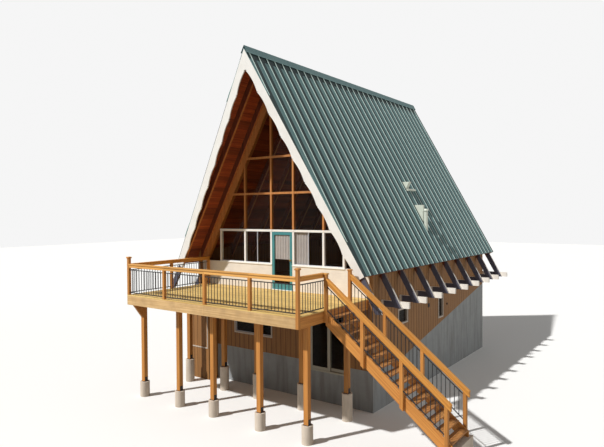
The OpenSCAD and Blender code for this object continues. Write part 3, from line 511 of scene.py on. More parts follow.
def makeMetalRoof(side):
    bm = newMesh()
    top, under, lap, inset = -roof["overrun"], -roof["metal"], roof["lap"], roof["capShadowInset"]
    capShadowLow, capShadowHigh = roof["capShadowZ"]
    middles = [y + roof["seamHead"][0] / 2 for y in seamPlaces()]
    edges = [-roof["prow"]] + middles + [roof["length"]]
    for i, (start, stop) in enumerate(zip(edges, edges[1:])):
        tone = roof["panelTone"] * random.random()
        darkStrip = start + roof["seamShadowWidth"] if i else start
        if i:  # painted shadow of each seam on its lee side
            addBoard(bm, (top, start, under), (slopeLength, darkStrip, 0.0), None, roof["seamShadowTone"])
        addBoard(bm, (top, darkStrip, under), (slopeLength, stop, 0.0), None, tone)
        # and painted shadow in a band under the edge of the ridge cap
        addBoard(bm, (ridgeCap["width"] - ridgeCap["hem"], start + inset, capShadowLow),
                 (ridgeCap["width"] + roof["capShadowDepth"], stop - inset, capShadowHigh), None, roof["capShadowTone"])
    (bodyW, bodyH), (headW, headH) = roof["seamBody"], roof["seamHead"]
    for middle in middles:
        addBoard(bm, (top, middle - bodyW / 2, -lap),
                 (slopeLength, middle + bodyW / 2, bodyH), None, roof["bodyTone"])
        head = addBoard(bm, (top, middle - headW / 2, bodyH - lap),
                        (slopeLength, middle + headW / 2, bodyH + headH), None, 0.0)
        # the seam heads take the pale steel as a painted highlight
        for face in {f for v in head for f in v.link_faces}:
            face.material_index = 1
    cutProw(bm, 0.0)
    onSlope(bm, side == "left")
    piece = finishPiece("roof_panels_" + side, bm, roofSteel, ["metal_roof_" + side])
    piece.data.materials.append(highlightSeamSteel)


def makeRidgeCap():
    bm = newMesh()
    front, back = -roof["prow"], roof["length"]
    width, rise = ridgeCap["width"], ridgeCap["rise"]
    hem = width - ridgeCap["hem"]
    skirtLow, skirtHigh = ridgeCap["skirtZ"]
    addBoard(bm, (-ridgeCap["overrun"], front, rise - ridgeCap["sheetT"]), (hem, back, rise),
             None, ridgeCap["sheetTone"])
    addBoard(bm, (hem, front, rise - ridgeCap["hemT"]), (width, back, rise), None, ridgeCap["hemHighlightTone"])
    addBoard(bm, (width - ridgeCap["skirtT"], front, skirtLow), (width, back, skirtHigh),
             None, ridgeCap["skirtShadeTone"])
    onSlope(bm, False)
    half = bmesh.ops.duplicate(bm, geom=list(bm.verts) + list(bm.edges) + list(bm.faces))["geom"]
    mirrorAcross(bm, [g for g in half if isinstance(g, bmesh.types.BMVert)])
    finishPiece("ridge_cap_sheet", bm, roofSteel, ["ridge_cap"])


def makeSoffit(side):
    bm = newMesh()
    low, high = -roof["metal"] - roof["boards"], -roof["metal"] - roof["boardClear"]
    count = int(slopeLength / roof["boardPitch"]) + 1
    for i in range(count):
        start = i * roof["boardPitch"]
        stop = min(start + roof["boardPitch"] - roof["boardGap"], slopeLength)
        if stop - start > roof["leastBoard"]:
            addBoard(bm, (start, -roof["prow"], low), (stop, roof["length"] - roof["bargeT"], high))
    cutProw(bm, roof["bargeT"])
    onSlope(bm, side == "left")
    finishPiece("soffit_boards_" + side, bm, soffitWood, ["roof_boards_" + side])


for side in ("right", "left"):
    makeMetalRoof(side)
    makeSoffit(side)
makeRidgeCap()
for end in ("front", "rear"):
    for side in ("left", "right"):
        dress(end + "_bargeboard_" + side, whitePaint)
print("roof made")


# Rafters: oiled lower edges, sides darkened as painted shade, and painted feet outside the walls

rafter = {
    "bevel": 0.004, "paintBlend": 0.050, "paintDirtMm": 333,
    # metres from the middle of the house
    "shadeFrom": 3.700, "edgePaintFrom": 4.030, "tailPaintFrom": 4.240,
    # slate and shadedEdge are painted shade, cream is paint
    "shadeSlate": ("#5C5B69", "#434250"), "cream": ("#F6F1E8", "#E2D9CC"), "shadedEdge": ("#6E5134", "#513A22"),
}


# Mixes a second colour in where a rafter stands clear of the house; the cream is paint, and the slate and
# brown are painted shade
def addFootPaint(material, paints, start):
    tree = material.node_tree
    shader = tree.nodes["Principled BSDF"]
    place = addNode(tree, "TexCoord").outputs["Object"]
    across = addNode(tree, "Mapping", {}, {"Vector": place, "Location": -origin}).outputs[0]
    x = addNode(tree, "SeparateXYZ", {}, {0: across}).outputs[0]
    far = addNode(tree, "Math", {"operation": "ABSOLUTE"}, {0: x}).outputs[0]
    share = addNode(tree, "MapRange", {}, {0: far, 1: start, 2: start + rafter["paintBlend"]}).outputs[0]
    dirt = addNode(tree, "TexNoise", {}, {
        "Vector": place, "Scale": 1000.0 / rafter["paintDirtMm"], "Detail": 6.0, "Roughness": 0.65,
    }).outputs[0]
    light, dark = (toLinear(paint) for paint in paints)
    coat = addNode(tree, "Mix", colourMix, {0: dirt, 6: light, 7: dark}).outputs[2]
    below = shader.inputs["Base Color"].links[0].from_socket
    colour = addNode(tree, "Mix", colourMix, {0: share, 6: below, 7: coat}).outputs[2]
    tree.links.new(colour, shader.inputs["Base Color"])


# Painted shade: the rafters' sides are darker than their edges
shadedRafterSide = makeTimber("rafter_side_painted_shade", {
    "light": "#8A4420", "dark": "#4E1E0E", "worn": "#6A2E15", "along": "z", "toneSpread": 0.2,
})
rafterEdge = makeTimber("oiled_rafter_edge", {
    "light": "#D98E4E", "dark": "#A9622E", "worn": "#C0753A", "along": "z", "toneSpread": 0.15,
})
for material, paint, start in (
    (shadedRafterSide, "shadeSlate", "shadeFrom"),
    (tailPaint, "shadeSlate", "shadeFrom"), (tailPaint, "cream", "tailPaintFrom"),
    (rafterEdge, "shadedEdge", "shadeFrom"), (rafterEdge, "cream", "edgePaintFrom"),
):
    addFootPaint(material, rafter[paint], rafter[start])


def makeRafters(side):
    bm = copyNode("rafters_" + side)
    toneSolids(bm)
    bm.normal_update()
    # faces across Y take the darker side material, as painted shade
    for face in bm.faces:
        face.material_index = 0 if abs(face.normal.y) > 0.7 else 1
    roundEdges(bm, rafter["bevel"], 1)
    piece = finishPiece(side + "_rafters", bm, shadedRafterSide, ["rafters_" + side])
    piece.data.materials.append(rafterEdge)


for side in ("left", "right"):
    makeRafters(side)
print("rafters made")


# Siding: grooved plywood, cut from the wall solids

siding = {
    "pitch": groovePitch, "width": 0.012, "depth": 0.007, "low": -4.0, "high": 8.0,
    "reach": 0.010, "margin": 0.020,  # how far the cutter stands out, and the least edge strip
}


def grooveLine(axis, at, face, outward):
    w, d, reach = siding["width"] / 2, siding["depth"], siding["reach"]
    near, far = (face - d, face + reach) if outward > 0 else (face - reach, face + d)
    if axis == "y":  # grooves along a wall that runs in Y
        return (near, at - w, siding["low"]), (far, at + w, siding["high"])
    return (at - w, near, siding["low"]), (at + w, far, siding["high"])


# Cuts grooves in the face of a wall that runs along an axis
def grooveSiding(nodeName, pieceName, axis, face, outward):
    low, high = (Vector(c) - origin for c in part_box(nodeName))
    target = copyNode(nodeName, False)
    cutter = newMesh()
    start, stop = (low.x, high.x) if axis == "x" else (low.y, high.y)
    for k in range(math.ceil(start / siding["pitch"]), int(stop / siding["pitch"]) + 1):
        at = k * siding["pitch"]
        if start + siding["margin"] < at < stop - siding["margin"]:
            addBoard(cutter, *grooveLine(axis, at, face, outward), None, 0.5)
    made = []
    for name, bm in (("wall", target), ("cutter", cutter)):
        bmesh.ops.recalc_face_normals(bm, faces=bm.faces)
        mesh = bpy.data.meshes.new(name)
        bm.to_mesh(mesh)
        bm.free()
        obj = bpy.data.objects.new(name, mesh)
        scene.collection.objects.link(obj)
        made.append(obj)
    cut = made[0].modifiers.new("grooves", "BOOLEAN")
    cut.operation = "DIFFERENCE"
    cut.solver = "EXACT"
    cut.object = made[1]
    depsgraph = bpy.context.evaluated_depsgraph_get()
    result = bpy.data.meshes.new_from_object(made[0].evaluated_get(depsgraph))
    bm = newMesh()
    bm.from_mesh(result)
    for obj in made:
        mesh = obj.data
        bpy.data.objects.remove(obj)
        bpy.data.meshes.remove(mesh)
    bpy.data.meshes.remove(result)
    finishPiece(pieceName, bm, sidingWood[axis], [nodeName])


wallFaces = {
    name: [Vector(corner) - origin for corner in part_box(name)] for name in (
        "right_wall", "left_wall", "lower_front_wall", "rear_lower_wall", "rear_gable_wall", "closet",
    )
}
grooveSiding("right_wall", "right_siding", "y", wallFaces["right_wall"][1].x, 1)
grooveSiding("left_wall", "left_siding", "y", wallFaces["left_wall"][0].x, -1)
for name in ("lower_front_wall", "lower_front_header", "lower_front_corner"):
    grooveSiding(name, name + "_siding", "x", wallFaces["lower_front_wall"][0].y, -1)
for name in ("rear_lower_wall", "rear_gable_wall"):
    grooveSiding(name, name + "_siding", "x", wallFaces[name][1].y, 1)
grooveSiding("closet", "closet_siding", "x", wallFaces["closet"][0].y, -1)
print("siding grooved")


# Window row: sashes and meeting stiles in front of the glass, and the sashes of the lower window

windowRow = {
    "bays": ((-2.585, -1.465), (-1.395, -0.295), (0.695, 1.805), (1.875, 2.585)),
    "stiles": (-0.870, 1.265), "z": (0.875, 1.930), "y": (0.951, 0.981), "sash": 0.012, "stile": 0.028,
    "stileY": (0.947, 0.980), "round": 0.003,
}
lowWindow = {
    "x": (-1.810, -0.210), "z": (-1.570, -1.060), "y": (0.868, 0.898), "sash": 0.030,
    "stileX": (-0.860, -0.825), "stileY": (0.862, 0.897),
}


def addFrame(bm, x0, x1, z0, z1, y0, y1, width):
    for x in (x0, x1 - width):
        addBoard(bm, (x, y0, z0), (x + width, y1, z1))
    for z in (z0, z1 - width):
        addBoard(bm, (x0 + width, y0, z), (x1 - width, y1, z + width))


# A meeting stile between the rails of a sash
def addStile(bm, w, x0, x1):
    addBoard(bm, (x0, w["stileY"][0], w["z"][0] + w["sash"]), (x1, w["stileY"][1], w["z"][1] - w["sash"]))


def makeSashes():
    bm = newMesh()
    w = windowRow
    for x0, x1 in w["bays"]:
        addFrame(bm, x0, x1, *w["z"], *w["y"], w["sash"])
    for x in w["stiles"]:
        addStile(bm, w, x - w["stile"] / 2, x + w["stile"] / 2)
    addFrame(bm, *lowWindow["x"], *lowWindow["z"], *lowWindow["y"], lowWindow["sash"])
    addStile(bm, lowWindow, *lowWindow["stileX"])
    roundEdges(bm, w["round"], 1)
    finishPiece("window_sashes", bm, sashMetal)


makeSashes()


# Curtains: pleated cotton behind two of the panes

curtain = {
    "pleat": 0.11, "swing": 0.009, "thick": 0.0015, "stepsPerPleat": 12, "rows": 8,
    "sway": 0.5, "swayPerMetre": 3.1,
    # name, left and right edge, y, bottom and top, and the body that it rides on
    "hung": (
        ("bay_curtain", 0.700, 1.235, 1.016, 0.880, 1.925, "house"),
        ("door_curtain", -0.120, 0.520, 0.9745, 1.020, 1.815, "front_door"),
    ),
}


def makeCurtain(name, x0, x1, y, z0, z1, body):
    width = x1 - x0
    steps = int(width / curtain["pleat"] * curtain["stepsPerPleat"])
    bm = newMesh()
    bmesh.ops.create_grid(bm, x_segments=steps, y_segments=curtain["rows"], size=0.5)
    turn = Matrix.Translation(((x0 + x1) / 2, y, (z0 + z1) / 2)) @ Matrix.Rotation(math.radians(90), 4, "X")
    bmesh.ops.transform(bm, matrix=turn @ Matrix.Diagonal((width, z1 - z0, 1.0, 1.0)), verts=bm.verts)
    for vert in bm.verts:
        fold = 2 * math.pi * (vert.co.x - x0) / curtain["pleat"]
        sway = curtain["sway"] * math.sin(curtain["swayPerMetre"] * vert.co.z)
        vert.co.y += curtain["swing"] * math.sin(fold + sway)
    spread = [v.co for v in bm.verts if abs(v.co.z - z0) < 0.0001]
    spread.sort(key=lambda c: c.x)
    piece = finishPiece(name, bm, curtainCloth, (), body)
    shell = piece.modifiers.new("thickness", "SOLIDIFY")
    shell.thickness = curtain["thick"]


# Woven cotton: matt, with threads drawn 16 mm apart, far wider than real, so that they show
def makeCloth(name, look):
    material, tree, shader, place = startMaterial(name, {"IOR": typicalIor, "Sheen Weight": 0.3})
    threads = addNode(tree, "TexWave", {"bands_direction": "Z"}, {
        "Vector": place, "Scale": 1000.0 / look["threadMm"] * math.pi / 10, "Distortion": 1.0,
    }).outputs[0]
    fade = addNode(tree, "TexNoise", {}, {
        "Vector": place, "Scale": 1000.0 / look["fadeMm"], "Detail": 3.0,
    }).outputs[0]
    base = darkToLight(tree, look, fade)
    finishMaterial(tree, shader, base, threads, 0.0006, (0.85, 0.95))
    return material


curtainCloth = makeCloth("cotton_curtain", {
    "light": "#D6D0CB", "dark": "#B8B1AE", "threadMm": 15.8, "fadeMm": 250,
})
for hung in curtain["hung"]:
    makeCurtain(*hung)


# Door furniture, trims and small fittings

doorKnob = {
    "x": 0.560, "z": 1.000, "leafY": (0.939, 0.983), "steps": 20,
    # the rose, the neck and the knob, as heights over the leaf and radii
    "rings": ((0.0, 0.032), (0.006, 0.032), (0.007, 0.012), (0.030, 0.011),
              (0.036, 0.022), (0.046, 0.028), (0.058, 0.025), (0.063, 0.014)),
}


def addKnob(bm, y, outward):
    place = Matrix.Translation((doorKnob["x"], y, doorKnob["z"]))
    turn = place @ Matrix.Rotation(math.radians(90 * outward), 4, "X")
    verts = [bm.verts.new(turn @ Vector((r, 0.0, h))) for h, r in doorKnob["rings"]]
    verts.append(bm.verts.new(turn @ Vector((0.0, 0.0, doorKnob["rings"][-1][0]))))
    edges = [bm.edges.new(pair) for pair in zip(verts, verts[1:])]
    bmesh.ops.spin(
        bm, geom=edges, cent=turn.translation, axis=turn.to_3x3() @ Vector((0.0, 0.0, 1.0)),
        angle=2 * math.pi, steps=doorKnob["steps"], use_merge=True,
    )
    bmesh.ops.remove_doubles(bm, verts=bm.verts, dist=0.0003)


def makeDoorKnob():
    bm = newMesh()
    for y, outward in zip(doorKnob["leafY"], (1, -1)):
        addKnob(bm, y, outward)
    finishPiece("door_knobs", bm, brass, (), "front_door")


# Lacquered brass: warm metal with faint hand marks
def makeBrass(name, look):
    material, tree, shader, place = startMaterial(name, {"Metallic": 1.0})
    marks = addNode(tree, "TexNoise", {}, {
        "Vector": place, "Scale": 1000.0 / look["markMm"], "Detail": 4.0,
    }).outputs[0]
    colour = darkToLight(tree, look, marks)
    finishMaterial(tree, shader, colour, marks, 0.0002, (0.28, 0.42))
    return material


brass = makeBrass("lacquered_brass", {"light": "#B7985A", "dark": "#8E7440", "markMm": 6.25})
makeDoorKnob()

trim = {
    "threshold": ((-0.225, 0.868, 0.0), (0.625, 0.936, 0.018)),
    "sills": ((-2.640, -0.225), (0.625, 2.640)), "sillY": (0.912, 0.946), "sillZ": (0.812, 0.846),
    "blocks": (-2.600, -1.430, -0.260, 0.660, 1.840), "blockHalf": 0.030,
    "blockY": (0.927, 0.940), "blockZ": (1.945, 1.990), "round": 0.004,
}


def makeTrims():
    bm = newMesh()
    addBoard(bm, *trim["threshold"])
    (y0, y1), (z0, z1) = trim["sillY"], trim["sillZ"]
    for x0, x1 in trim["sills"]:
        addBoard(bm, (x0, y0, z0), (x1, y1, z1))
    (y0, y1), (z0, z1) = trim["blockY"], trim["blockZ"]
    for x in trim["blocks"]:
        addBoard(bm, (x - trim["blockHalf"], y0, z0), (x + trim["blockHalf"], y1, z1))
    roundEdges(bm, trim["round"], 1)
    finishPiece("trim_boards", bm, whitePaint)


closetTrim = {
    "x": (-3.600, -2.730), "z": (-2.250, -0.350), "y": (0.382, 0.400), "width": 0.042, "round": 0.003,
}


# Battens round the closet panel, in the colour of the window trims
def makeClosetTrim():
    bm = newMesh()
    addFrame(bm, *closetTrim["x"], *closetTrim["z"], *closetTrim["y"], closetTrim["width"])
    roundEdges(bm, closetTrim["round"], 1)
    finishPiece("closet_trim", bm, trimPaint)


wallVent = {
    # place along the wall, middle height, size and number of blades
    "places": ((4.880, -0.720, 0.130, 5), (6.580, -0.895, 0.070, 3)),
    "edgeShare": 0.1, "backX": (-0.008, 0.002), "edgeOut": 0.016,
    "bladeOut": 0.007, "bladeHalf": 0.008, "bladeT": 0.0012, "tilt": 35, "round": 0.0008,
}


# Louvred covers on the right wall
def makeWallVents():
    bm = newMesh()
    face = wallFaces["right_wall"][1].x
    back, front = (face + x for x in wallVent["backX"])
    outer = face + wallVent["edgeOut"]
    for y, z, size, blades in wallVent["places"]:
        half, edge = size / 2, size * wallVent["edgeShare"]
        addBoard(bm, (back, y - half, z - half), (front, y + half, z + half))
        for side in (-1, 1):
            middle = side * (half - edge / 2)
            addBoard(bm, (face, y + middle - edge / 2, z - half), (outer, y + middle + edge / 2, z + half))
            addBoard(bm, (face, y - half + edge, z + middle - edge / 2),
                     (outer, y + half - edge, z + middle + edge / 2))
        step = (size - 2 * edge) / blades
        for k in range(blades):
            middle = Vector((face + wallVent["bladeOut"], y, z - half + edge + (k + 0.5) * step))
            turn = Matrix.Translation(middle) @ Matrix.Rotation(math.radians(wallVent["tilt"]), 4, "Y")
            corner = Vector((wallVent["bladeHalf"], half - edge, wallVent["bladeT"]))
            addBoard(bm, -corner, corner, turn)
    roundEdges(bm, wallVent["round"], 1)
    finishPiece("wall_vents", bm, blackSteel)


# The flat pull outside, and the plate, feet and grip of the one inside
sliderPull = {
    "boxes": (
        ((2.738, 0.9025, -1.520), (2.768, 0.9065, -1.320)),
        ((2.740, 0.9495, -1.520), (2.766, 0.9555, -1.320)),
        ((2.746, 0.955, -1.500), (2.760, 0.985, -1.485)),
        ((2.746, 0.955, -1.355), (2.760, 0.985, -1.340)),
        ((2.744, 0.984, -1.510), (2.762, 0.996, -1.330)),
    ),
    "round": 0.0015,
}


def makeSliderPull():
    bm = newMesh()
    for low, high in sliderPull["boxes"]:
        addBoard(bm, low, high)
    roundEdges(bm, sliderPull["round"], 1)
    finishPiece("slider_pull", bm, blackSteel, (), "sliding_door")


makeTrims()
makeClosetTrim()
makeWallVents()
makeSliderPull()
print("windows and doors fitted")


# Solids that keep their shape

keptSolids = (
    (concrete, ("foundation_ends", "foundation_sides", "lower_floor")),
    (litPierConcrete, ("piers", "stair_footing")),
    (paneGlass, ("front_glass", "front_door_glass", "sliding_door_glass")),
    (shadedPaneGlass, ("wall_window_glass",)),
    (whitePaint, ("window_row_frame",)),
    (trimPaint, ("wall_window_frames",)),
    (creamPaint, ("floor_beams", "front_sill_walls")),
    (floorWood, ("main_floor",)),
    (firWood, ("gable_timbers",)),
    (tealPaint, ("front_door",)),
    (doorFramePaint, ("sliding_door_frame", "sliding_door")),
    (cedar["y"], ("deck_joists",)),
    (cedar["x"], ("deck_beams",)),
    (cedar["stair"], ("stair_stringers",)),
    (blackSteel, ("door_hinges", "deck_balusters", "stair_balusters")),
    (ventSteel, ("roof_vents",)),
)
for material, names in keptSolids:
    for name in names:
        dress(name, material)
beams = nodes["floor_beams"].data
beams.materials.append(tailPaint)
for face in beams.polygons:  # the tails' sides take the rafters' painted shade, with cream paint beyond the rafters
    face.material_index = 1 if abs(face.normal.y) > 0.7 else 0
print("kept solids dressed")


# Deck

deck = {
    "x0": -3.240, "x1": 3.470, "y0": -2.590, "y1": 0.939, "wallY": 0.850, "boardT": 0.025, "boardW": 0.138,
    "gap": 0.004, "rimT": 0.038, "rimD": 0.286, "joint": 0.003, "postClear": 0.001, "rimClear": 0.0005,
    "jointX": (-1.35, 0.48, 1.09, 2.31), "jointStep": 3, "rimJoint": (0.180, 0.182),
    "boardRound": 0.003, "rimRound": 0.004,
}
post = {
    "w": 0.089, "midX": (-1.520, 0.180, 1.860), "railZ": 0.980, "railT": 0.038, "underD": 0.085,
    "underW": 0.075, "railW": 0.120, "cornerUp": 0.220, "capW": 0.125, "capT": 0.050,
    "capChamfer": 0.016, "round": 0.005, "railGap": 0.002, "clear": 0.0005,
}
rimTop = -deck["boardT"]
rimLow = rimTop - deck["rimD"]


def makeDeckBoards():
    bm = newMesh()
    count = round((deck["y1"] - deck["y0"]) / (deck["boardW"] + deck["gap"]))
    pitch = (deck["y1"] - deck["y0"]) / count
    cornerX = deck["x1"] - post["w"]
    for i in range(count):
        y0 = deck["y0"] + i * pitch
        y1 = y0 + pitch - deck["gap"]
        end = cornerX if i == 0 else deck["x1"]
        joint = deck["jointX"][i * deck["jointStep"] % len(deck["jointX"])]  # staggered
        addBoard(bm, (deck["x0"], y0, rimTop), (joint, y1, 0.0))
        addBoard(bm, (joint + deck["joint"], y0, rimTop), (end, y1, 0.0))
        if i == 0:  # what is left of the first board behind the corner post
            addBoard(bm, (cornerX + deck["postClear"], y0 + post["w"], rimTop), (deck["x1"], y1, 0.0))
    roundEdges(bm, deck["boardRound"], 1)
    finishPiece("deck_boarding", bm, deckWood, ["deck_boards"])


def makeRim():
    front = newMesh()
    sides = newMesh()
    t = deck["rimT"]
    cornerX = deck["x1"] - post["w"]
    stop, restart = deck["rimJoint"]
    addBoard(front, (deck["x0"], deck["y0"], rimLow), (stop, deck["y0"] + t, rimTop))
    addBoard(front, (restart, deck["y0"], rimLow), (cornerX, deck["y0"] + t, rimTop))
    leftStart = deck["y0"] + t + deck["rimClear"]
    for x, start in ((deck["x0"], leftStart), (deck["x1"] - t, deck["y0"] + post["w"])):
        addBoard(sides, (x, start, rimLow), (x + t, deck["wallY"], rimTop))
    for bm in (front, sides):
        roundEdges(bm, deck["rimRound"])
    finishPiece("front_rim_boards", front, rimWood, ["deck_rim"])
    # the side rims take the darker cedar as painted shade, against the paler front rim
    finishPiece("side_rim_boards", sides, cedar["y"])


makeDeckBoards()
makeRim()


# Railing: posts with chamfered caps, and a flat board on a rail on edge

half = post["w"] / 2
leftX = deck["x0"] + half
nearX = deck["x1"] - half
railY = deck["y0"] + half
stairX = deck["x1"] + half
stair = {
    "y0": -1.430, "y1": -0.230, "treads": 15, "rise": 0.181, "run": 0.228, "treadD": 0.250,
    "treadT": 0.038, "treadGap": 0.006, "postX": (4.600, 5.665, 6.780), "end": 0.110, "railH": 0.915,
    "stringerLow": -0.400, "stringerT": 0.038, "treadRound": 0.004,
    "roughX": (-1.0, 6.0), "roughZ": 0.2,  # boards and posts are made this long before they are cut
}
stairSlope = math.atan(stair["rise"] / stair["run"])
underZ = post["railZ"] - post["railT"] - post["underD"]


def addPost(bm, x, y, z0, z1):
    addBoard(bm, (x - half, y - half, z0), (x + half, y + half, z1))


def addCap(bm, x, y, width, thick, top):
    verts = addBoard(bm, (x - width / 2, y - width / 2, top - thick), (x + width / 2, y + width / 2, top))
    upper = [v for v in verts if v.co.z > top - thick / 2]
    edges = [e for e in bm.edges if all(v in upper for v in e.verts)]
    roundEdges(bm, min(post["capChamfer"], thick * 0.4), 1, edges)


def makeRailPosts():
    bm = newMesh()
    flatLow = post["railZ"] - post["railT"]
    cornerTop = post["railZ"] + post["cornerUp"]
    for x, low in ((leftX, 0.0), (nearX, rimLow)):
        addPost(bm, x, railY, low, cornerTop - post["capT"])
    for x in post["midX"]:
        addPost(bm, x, railY, 0.0, underZ)
    for y in ((deck["y0"] + deck["y1"]) / 2, deck["y1"] - half):
        addPost(bm, leftX, y, 0.0, underZ)
    for y in (stair["y0"], stair["y1"]):
        addPost(bm, stairX, y, rimLow, flatLow)
    roundEdges(bm, post["round"])
    for x in (leftX, nearX):
        addCap(bm, x, railY, post["capW"], post["capT"], cornerTop)
    addCap(bm, stairX, stair["y1"], post["railW"], post["railT"], post["railZ"])
    finishPiece("railing_posts", bm, cedar["z"], ["rail_posts"])


def addRail(bm, x0, x1, y0, y1, alongX):
    wide, thin = post["railW"] / 2, post["underW"] / 2
    top = post["railZ"]
    low = top - post["railT"]
    for grow, z0, z1 in ((wide, low, top), (thin, underZ, low - post["clear"])):
        gx, gy = (0.0, grow) if alongX else (grow, 0.0)
        addBoard(bm, (x0 - gx, y0 - gy, z0), (x1 + gx, y1 + gy, z1))


def makeTopRails():
    front = newMesh()
    marks = (leftX + half, *post["midX"], nearX - half)
    for start, stop in zip(marks, marks[1:]):
        addRail(front, start, stop - post["railGap"], railY, railY, True)
    top = post["railZ"]
    wide = post["railW"] / 2
    addBoard(front, (nearX + wide, stair["y0"] - wide, top - post["railT"]),
             (stairX + wide, stair["y0"] + wide, top))
    roundEdges(front, post["round"])
    finishPiece("front_rail", front, railWood["x"], ["top_rails"])
    sides = newMesh()
    startY = railY + wide
    middle = (deck["y0"] + deck["y1"]) / 2
    addRail(sides, leftX, leftX, startY, middle - post["railGap"] / 2, False)
    addRail(sides, leftX, leftX, middle + post["railGap"] / 2, deck["y1"], False)
    addRail(sides, nearX, nearX, railY + half, stair["y0"] + half, False)
    roundEdges(sides, post["round"])
    finishPiece("side_rails", sides, railWood["y"])


makeRailPosts()
makeTopRails()
print("deck made")


# Stair

def stairZ(x, up):
    return up - (x - deck["x1"]) * math.tan(stairSlope)


# A board along the stair between two plumb ends; heights are over the tread fronts
def addSloping(bm, x0, x1, y0, y1, low, high):
    steep = math.cos(stairSlope)
    turn = Matrix.Translation((deck["x1"], 0.0, 0.0)) @ Matrix.Rotation(stairSlope, 4, "Y")
    start, stop = stair["roughX"]
    part = newMesh()
    addBoard(part, (start, y0, low * steep), (stop, y1, high * steep), turn)
    roundEdges(part, post["round"])
    cutAway(part, (x0, 0.0, 0.0), (-1.0, 0.0, 0.0))
    cutAway(part, (x1, 0.0, 0.0), (1.0, 0.0, 0.0))
    joinInto(bm, part)


# Adds one mesh to another
def joinInto(bm, part):
    mesh = bpy.data.meshes.new("part")
    part.to_mesh(mesh)
    part.free()
    bm.from_mesh(mesh)
    bpy.data.meshes.remove(mesh)


def makeHandrails():
    bm = newMesh()
    wide, thin = post["railW"] / 2, post["underW"] / 2
    drop = post["railT"] / math.cos(stairSlope)
    under = drop + post["underD"] / math.cos(stairSlope)
    x0 = deck["x1"] + post["w"]
    x1 = stair["postX"][-1] + stair["end"]
    top = stair["railH"]
    for y in (stair["y0"], stair["y1"]):
        addSloping(bm, x0, x1, y - wide, y + wide, top - drop, top)
        addSloping(bm, x0, x1, y - thin, y + thin, top - under, top - drop - post["clear"])
    finishPiece("handrails", bm, railWood["stair"], ["stair_handrails"])
    posts = newMesh()
    lowest = -(stair["treads"] + 1) * stair["rise"]
    for y in (stair["y0"], stair["y1"]):
        for x in stair["postX"]:
            part = newMesh()
            foot = stairZ(x, stair["stringerLow"])
            addPost(part, x, y, foot - stair["roughZ"], stairZ(x, top) + stair["roughZ"])
            roundEdges(part, post["round"])
            across = Vector((math.sin(stairSlope), 0.0, math.cos(stairSlope)))
            cutAway(part, (x, 0.0, stairZ(x, top - under)), across)
            cutAway(part, (x, 0.0, foot), -across)
            cutAway(part, (x, 0.0, lowest), (0.0, 0.0, -1.0))
            joinInto(posts, part)
    finishPiece("stair_posts", posts, cedar["z"])


def makeTreads():
    bm = newMesh()
    y0 = stair["y0"] + half + stair["stringerT"]
    y1 = stair["y1"] - half - stair["stringerT"]
    for k in range(1, stair["treads"] + 1):
        front = deck["x1"] + k * stair["run"]
        back = max(deck["x1"], front - stair["treadD"])
        middle = (front + back) / 2
        z = -k * stair["rise"]
        addBoard(bm, (back, y0, z - stair["treadT"]), (middle - stair["treadGap"] / 2, y1, z))
        addBoard(bm, (middle + stair["treadGap"] / 2, y0, z - stair["treadT"]), (front, y1, z))
    roundEdges(bm, stair["treadRound"])
    finishPiece("tread_boards", bm, shadedTreadWood, ["stair_treads"])


makeHandrails()
makeTreads()
print("stair made")


# Support posts on dark steel bases, and the knee brace of the left front one

support = {
    "x": (-3.170, -1.500, -0.050, 1.720, 3.300),
    "rows": ((-2.000, -2.870), (-0.050, -2.570)),  # y and foot of the front and the back row
    "half": 0.070, "round": 0.006,
    "plateOut": 0.012, "plateZ": (-0.001, 0.014), "strapT": 0.005, "strapHalf": 0.050, "strapHigh": 0.150,
    "steelRound": 0.001,
    "braceHalf": 0.0445, "braceY": (-2.410, -2.070), "braceLow": -0.800, "braceEnd": 0.038,
    "braceCut": (0.0, -0.452, -0.340),
}


def makeSupportPosts():
    bm = newMesh()
    steel = newMesh()
    wide, deep = support["half"], support["strapHalf"]
    plate = wide + support["plateOut"]
    low, high = support["plateZ"]
    for x in support["x"]:
        for y, z in support["rows"]:
            addBoard(bm, (x - wide, y - wide, z), (x + wide, y + wide, rimLow))
            addBoard(steel, (x - plate, y - plate, z + low), (x + plate, y + plate, z + high))
            for strapX in (x - wide - support["strapT"], x + wide):
                addBoard(steel, (strapX, y - deep, z),
                         (strapX + support["strapT"], y + deep, z + support["strapHigh"]))
    roundEdges(bm, support["round"])
    roundEdges(steel, support["steelRound"], 1)
    brace = newMesh()
    x, half = support["x"][0], support["braceHalf"]
    y0, y1 = support["braceY"]
    addBoard(brace, (x - half, y0, support["braceLow"]), (x + half, y1, rimLow))
    cutAway(brace, (0.0, y0, rimLow - support["braceEnd"]), Vector(support["braceCut"]).normalized())
    joinInto(bm, brace)
    finishPiece("deck_posts", bm, cedar["z"], ["support_posts"])
    finishPiece("post_bases", steel, blackSteel)


makeSupportPosts()
print("posts made")


# Floor and light

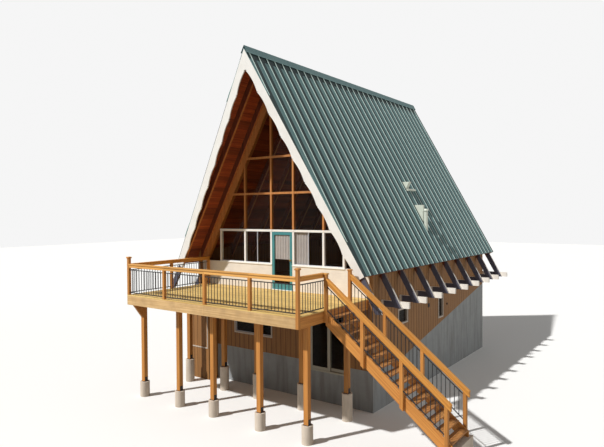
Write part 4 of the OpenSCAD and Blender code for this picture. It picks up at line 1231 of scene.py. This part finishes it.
stage = {
    "floor": {"dark": "#B9B6B0", "light": "#F4F3F0"}, "span": 90.0, "world": 0.25, "background": 0.92,
    # power, turn and height in degrees, and the angle that the sun fills
    "suns": (("key_sun", 3.7, (27.0, 47.5), 1.5), ("fill_sun", 0.5, (-115.0, 8.0), 40.0)),
}


def makeStage():
    bm = bmesh.new()
    bmesh.ops.create_grid(bm, x_segments=1, y_segments=1, size=stage["span"])
    mesh = bpy.data.meshes.new("floor")
    bm.to_mesh(mesh)
    bm.free()
    floor = bpy.data.objects.new("floor", mesh)
    scene.collection.objects.link(floor)
    material, tree, shader, place = startMaterial("plain_floor", {
        "Roughness": 0.9, "Specular IOR Level": 0.1,
    })
    seen = addNode(tree, "LightPath").outputs["Is Camera Ray"]
    colour = darkToLight(tree, stage["floor"], seen)
    tree.links.new(colour, shader.inputs["Base Color"])
    mesh.materials.append(material)


def makeSun(name, power, turn, soft):
    data = bpy.data.lights.new(name, "SUN")
    data.energy = power
    data.angle = math.radians(soft)
    lamp = bpy.data.objects.new(name, data)
    scene.collection.objects.link(lamp)
    left, up = math.radians(turn[0]), math.radians(turn[1])
    toward = Vector((-math.sin(left) * math.cos(up), -math.cos(left) * math.cos(up), math.sin(up)))
    lamp.matrix_world = toward.to_track_quat("Z", "Y").to_matrix().to_4x4()


# A soft sky that lights the house faintly, and that the camera, glass and metal see as pale
def makeWorld():
    world = bpy.data.worlds.new("soft_sky")
    world.use_nodes = True
    scene.world = world
    tree = world.node_tree
    back = tree.nodes["Background"]
    rays = addNode(tree, "LightPath").outputs
    seen = rays["Is Camera Ray"]
    for kind in ("Is Glossy Ray", "Is Transmission Ray"):
        seen = addNode(tree, "Math", {"operation": "MAXIMUM"}, {0: seen, 1: rays[kind]}).outputs[0]
    power = addNode(tree, "MapRange", {}, {0: seen, 3: stage["world"], 4: stage["background"]}).outputs[0]
    tree.links.new(power, back.inputs["Strength"])
    back.inputs["Color"].default_value = (1.0, 1.0, 1.0, 1.0)


makeStage()
for sun in stage["suns"]:
    makeSun(*sun)
makeWorld()
scene.view_settings.view_transform = "Standard"
print("stage made")
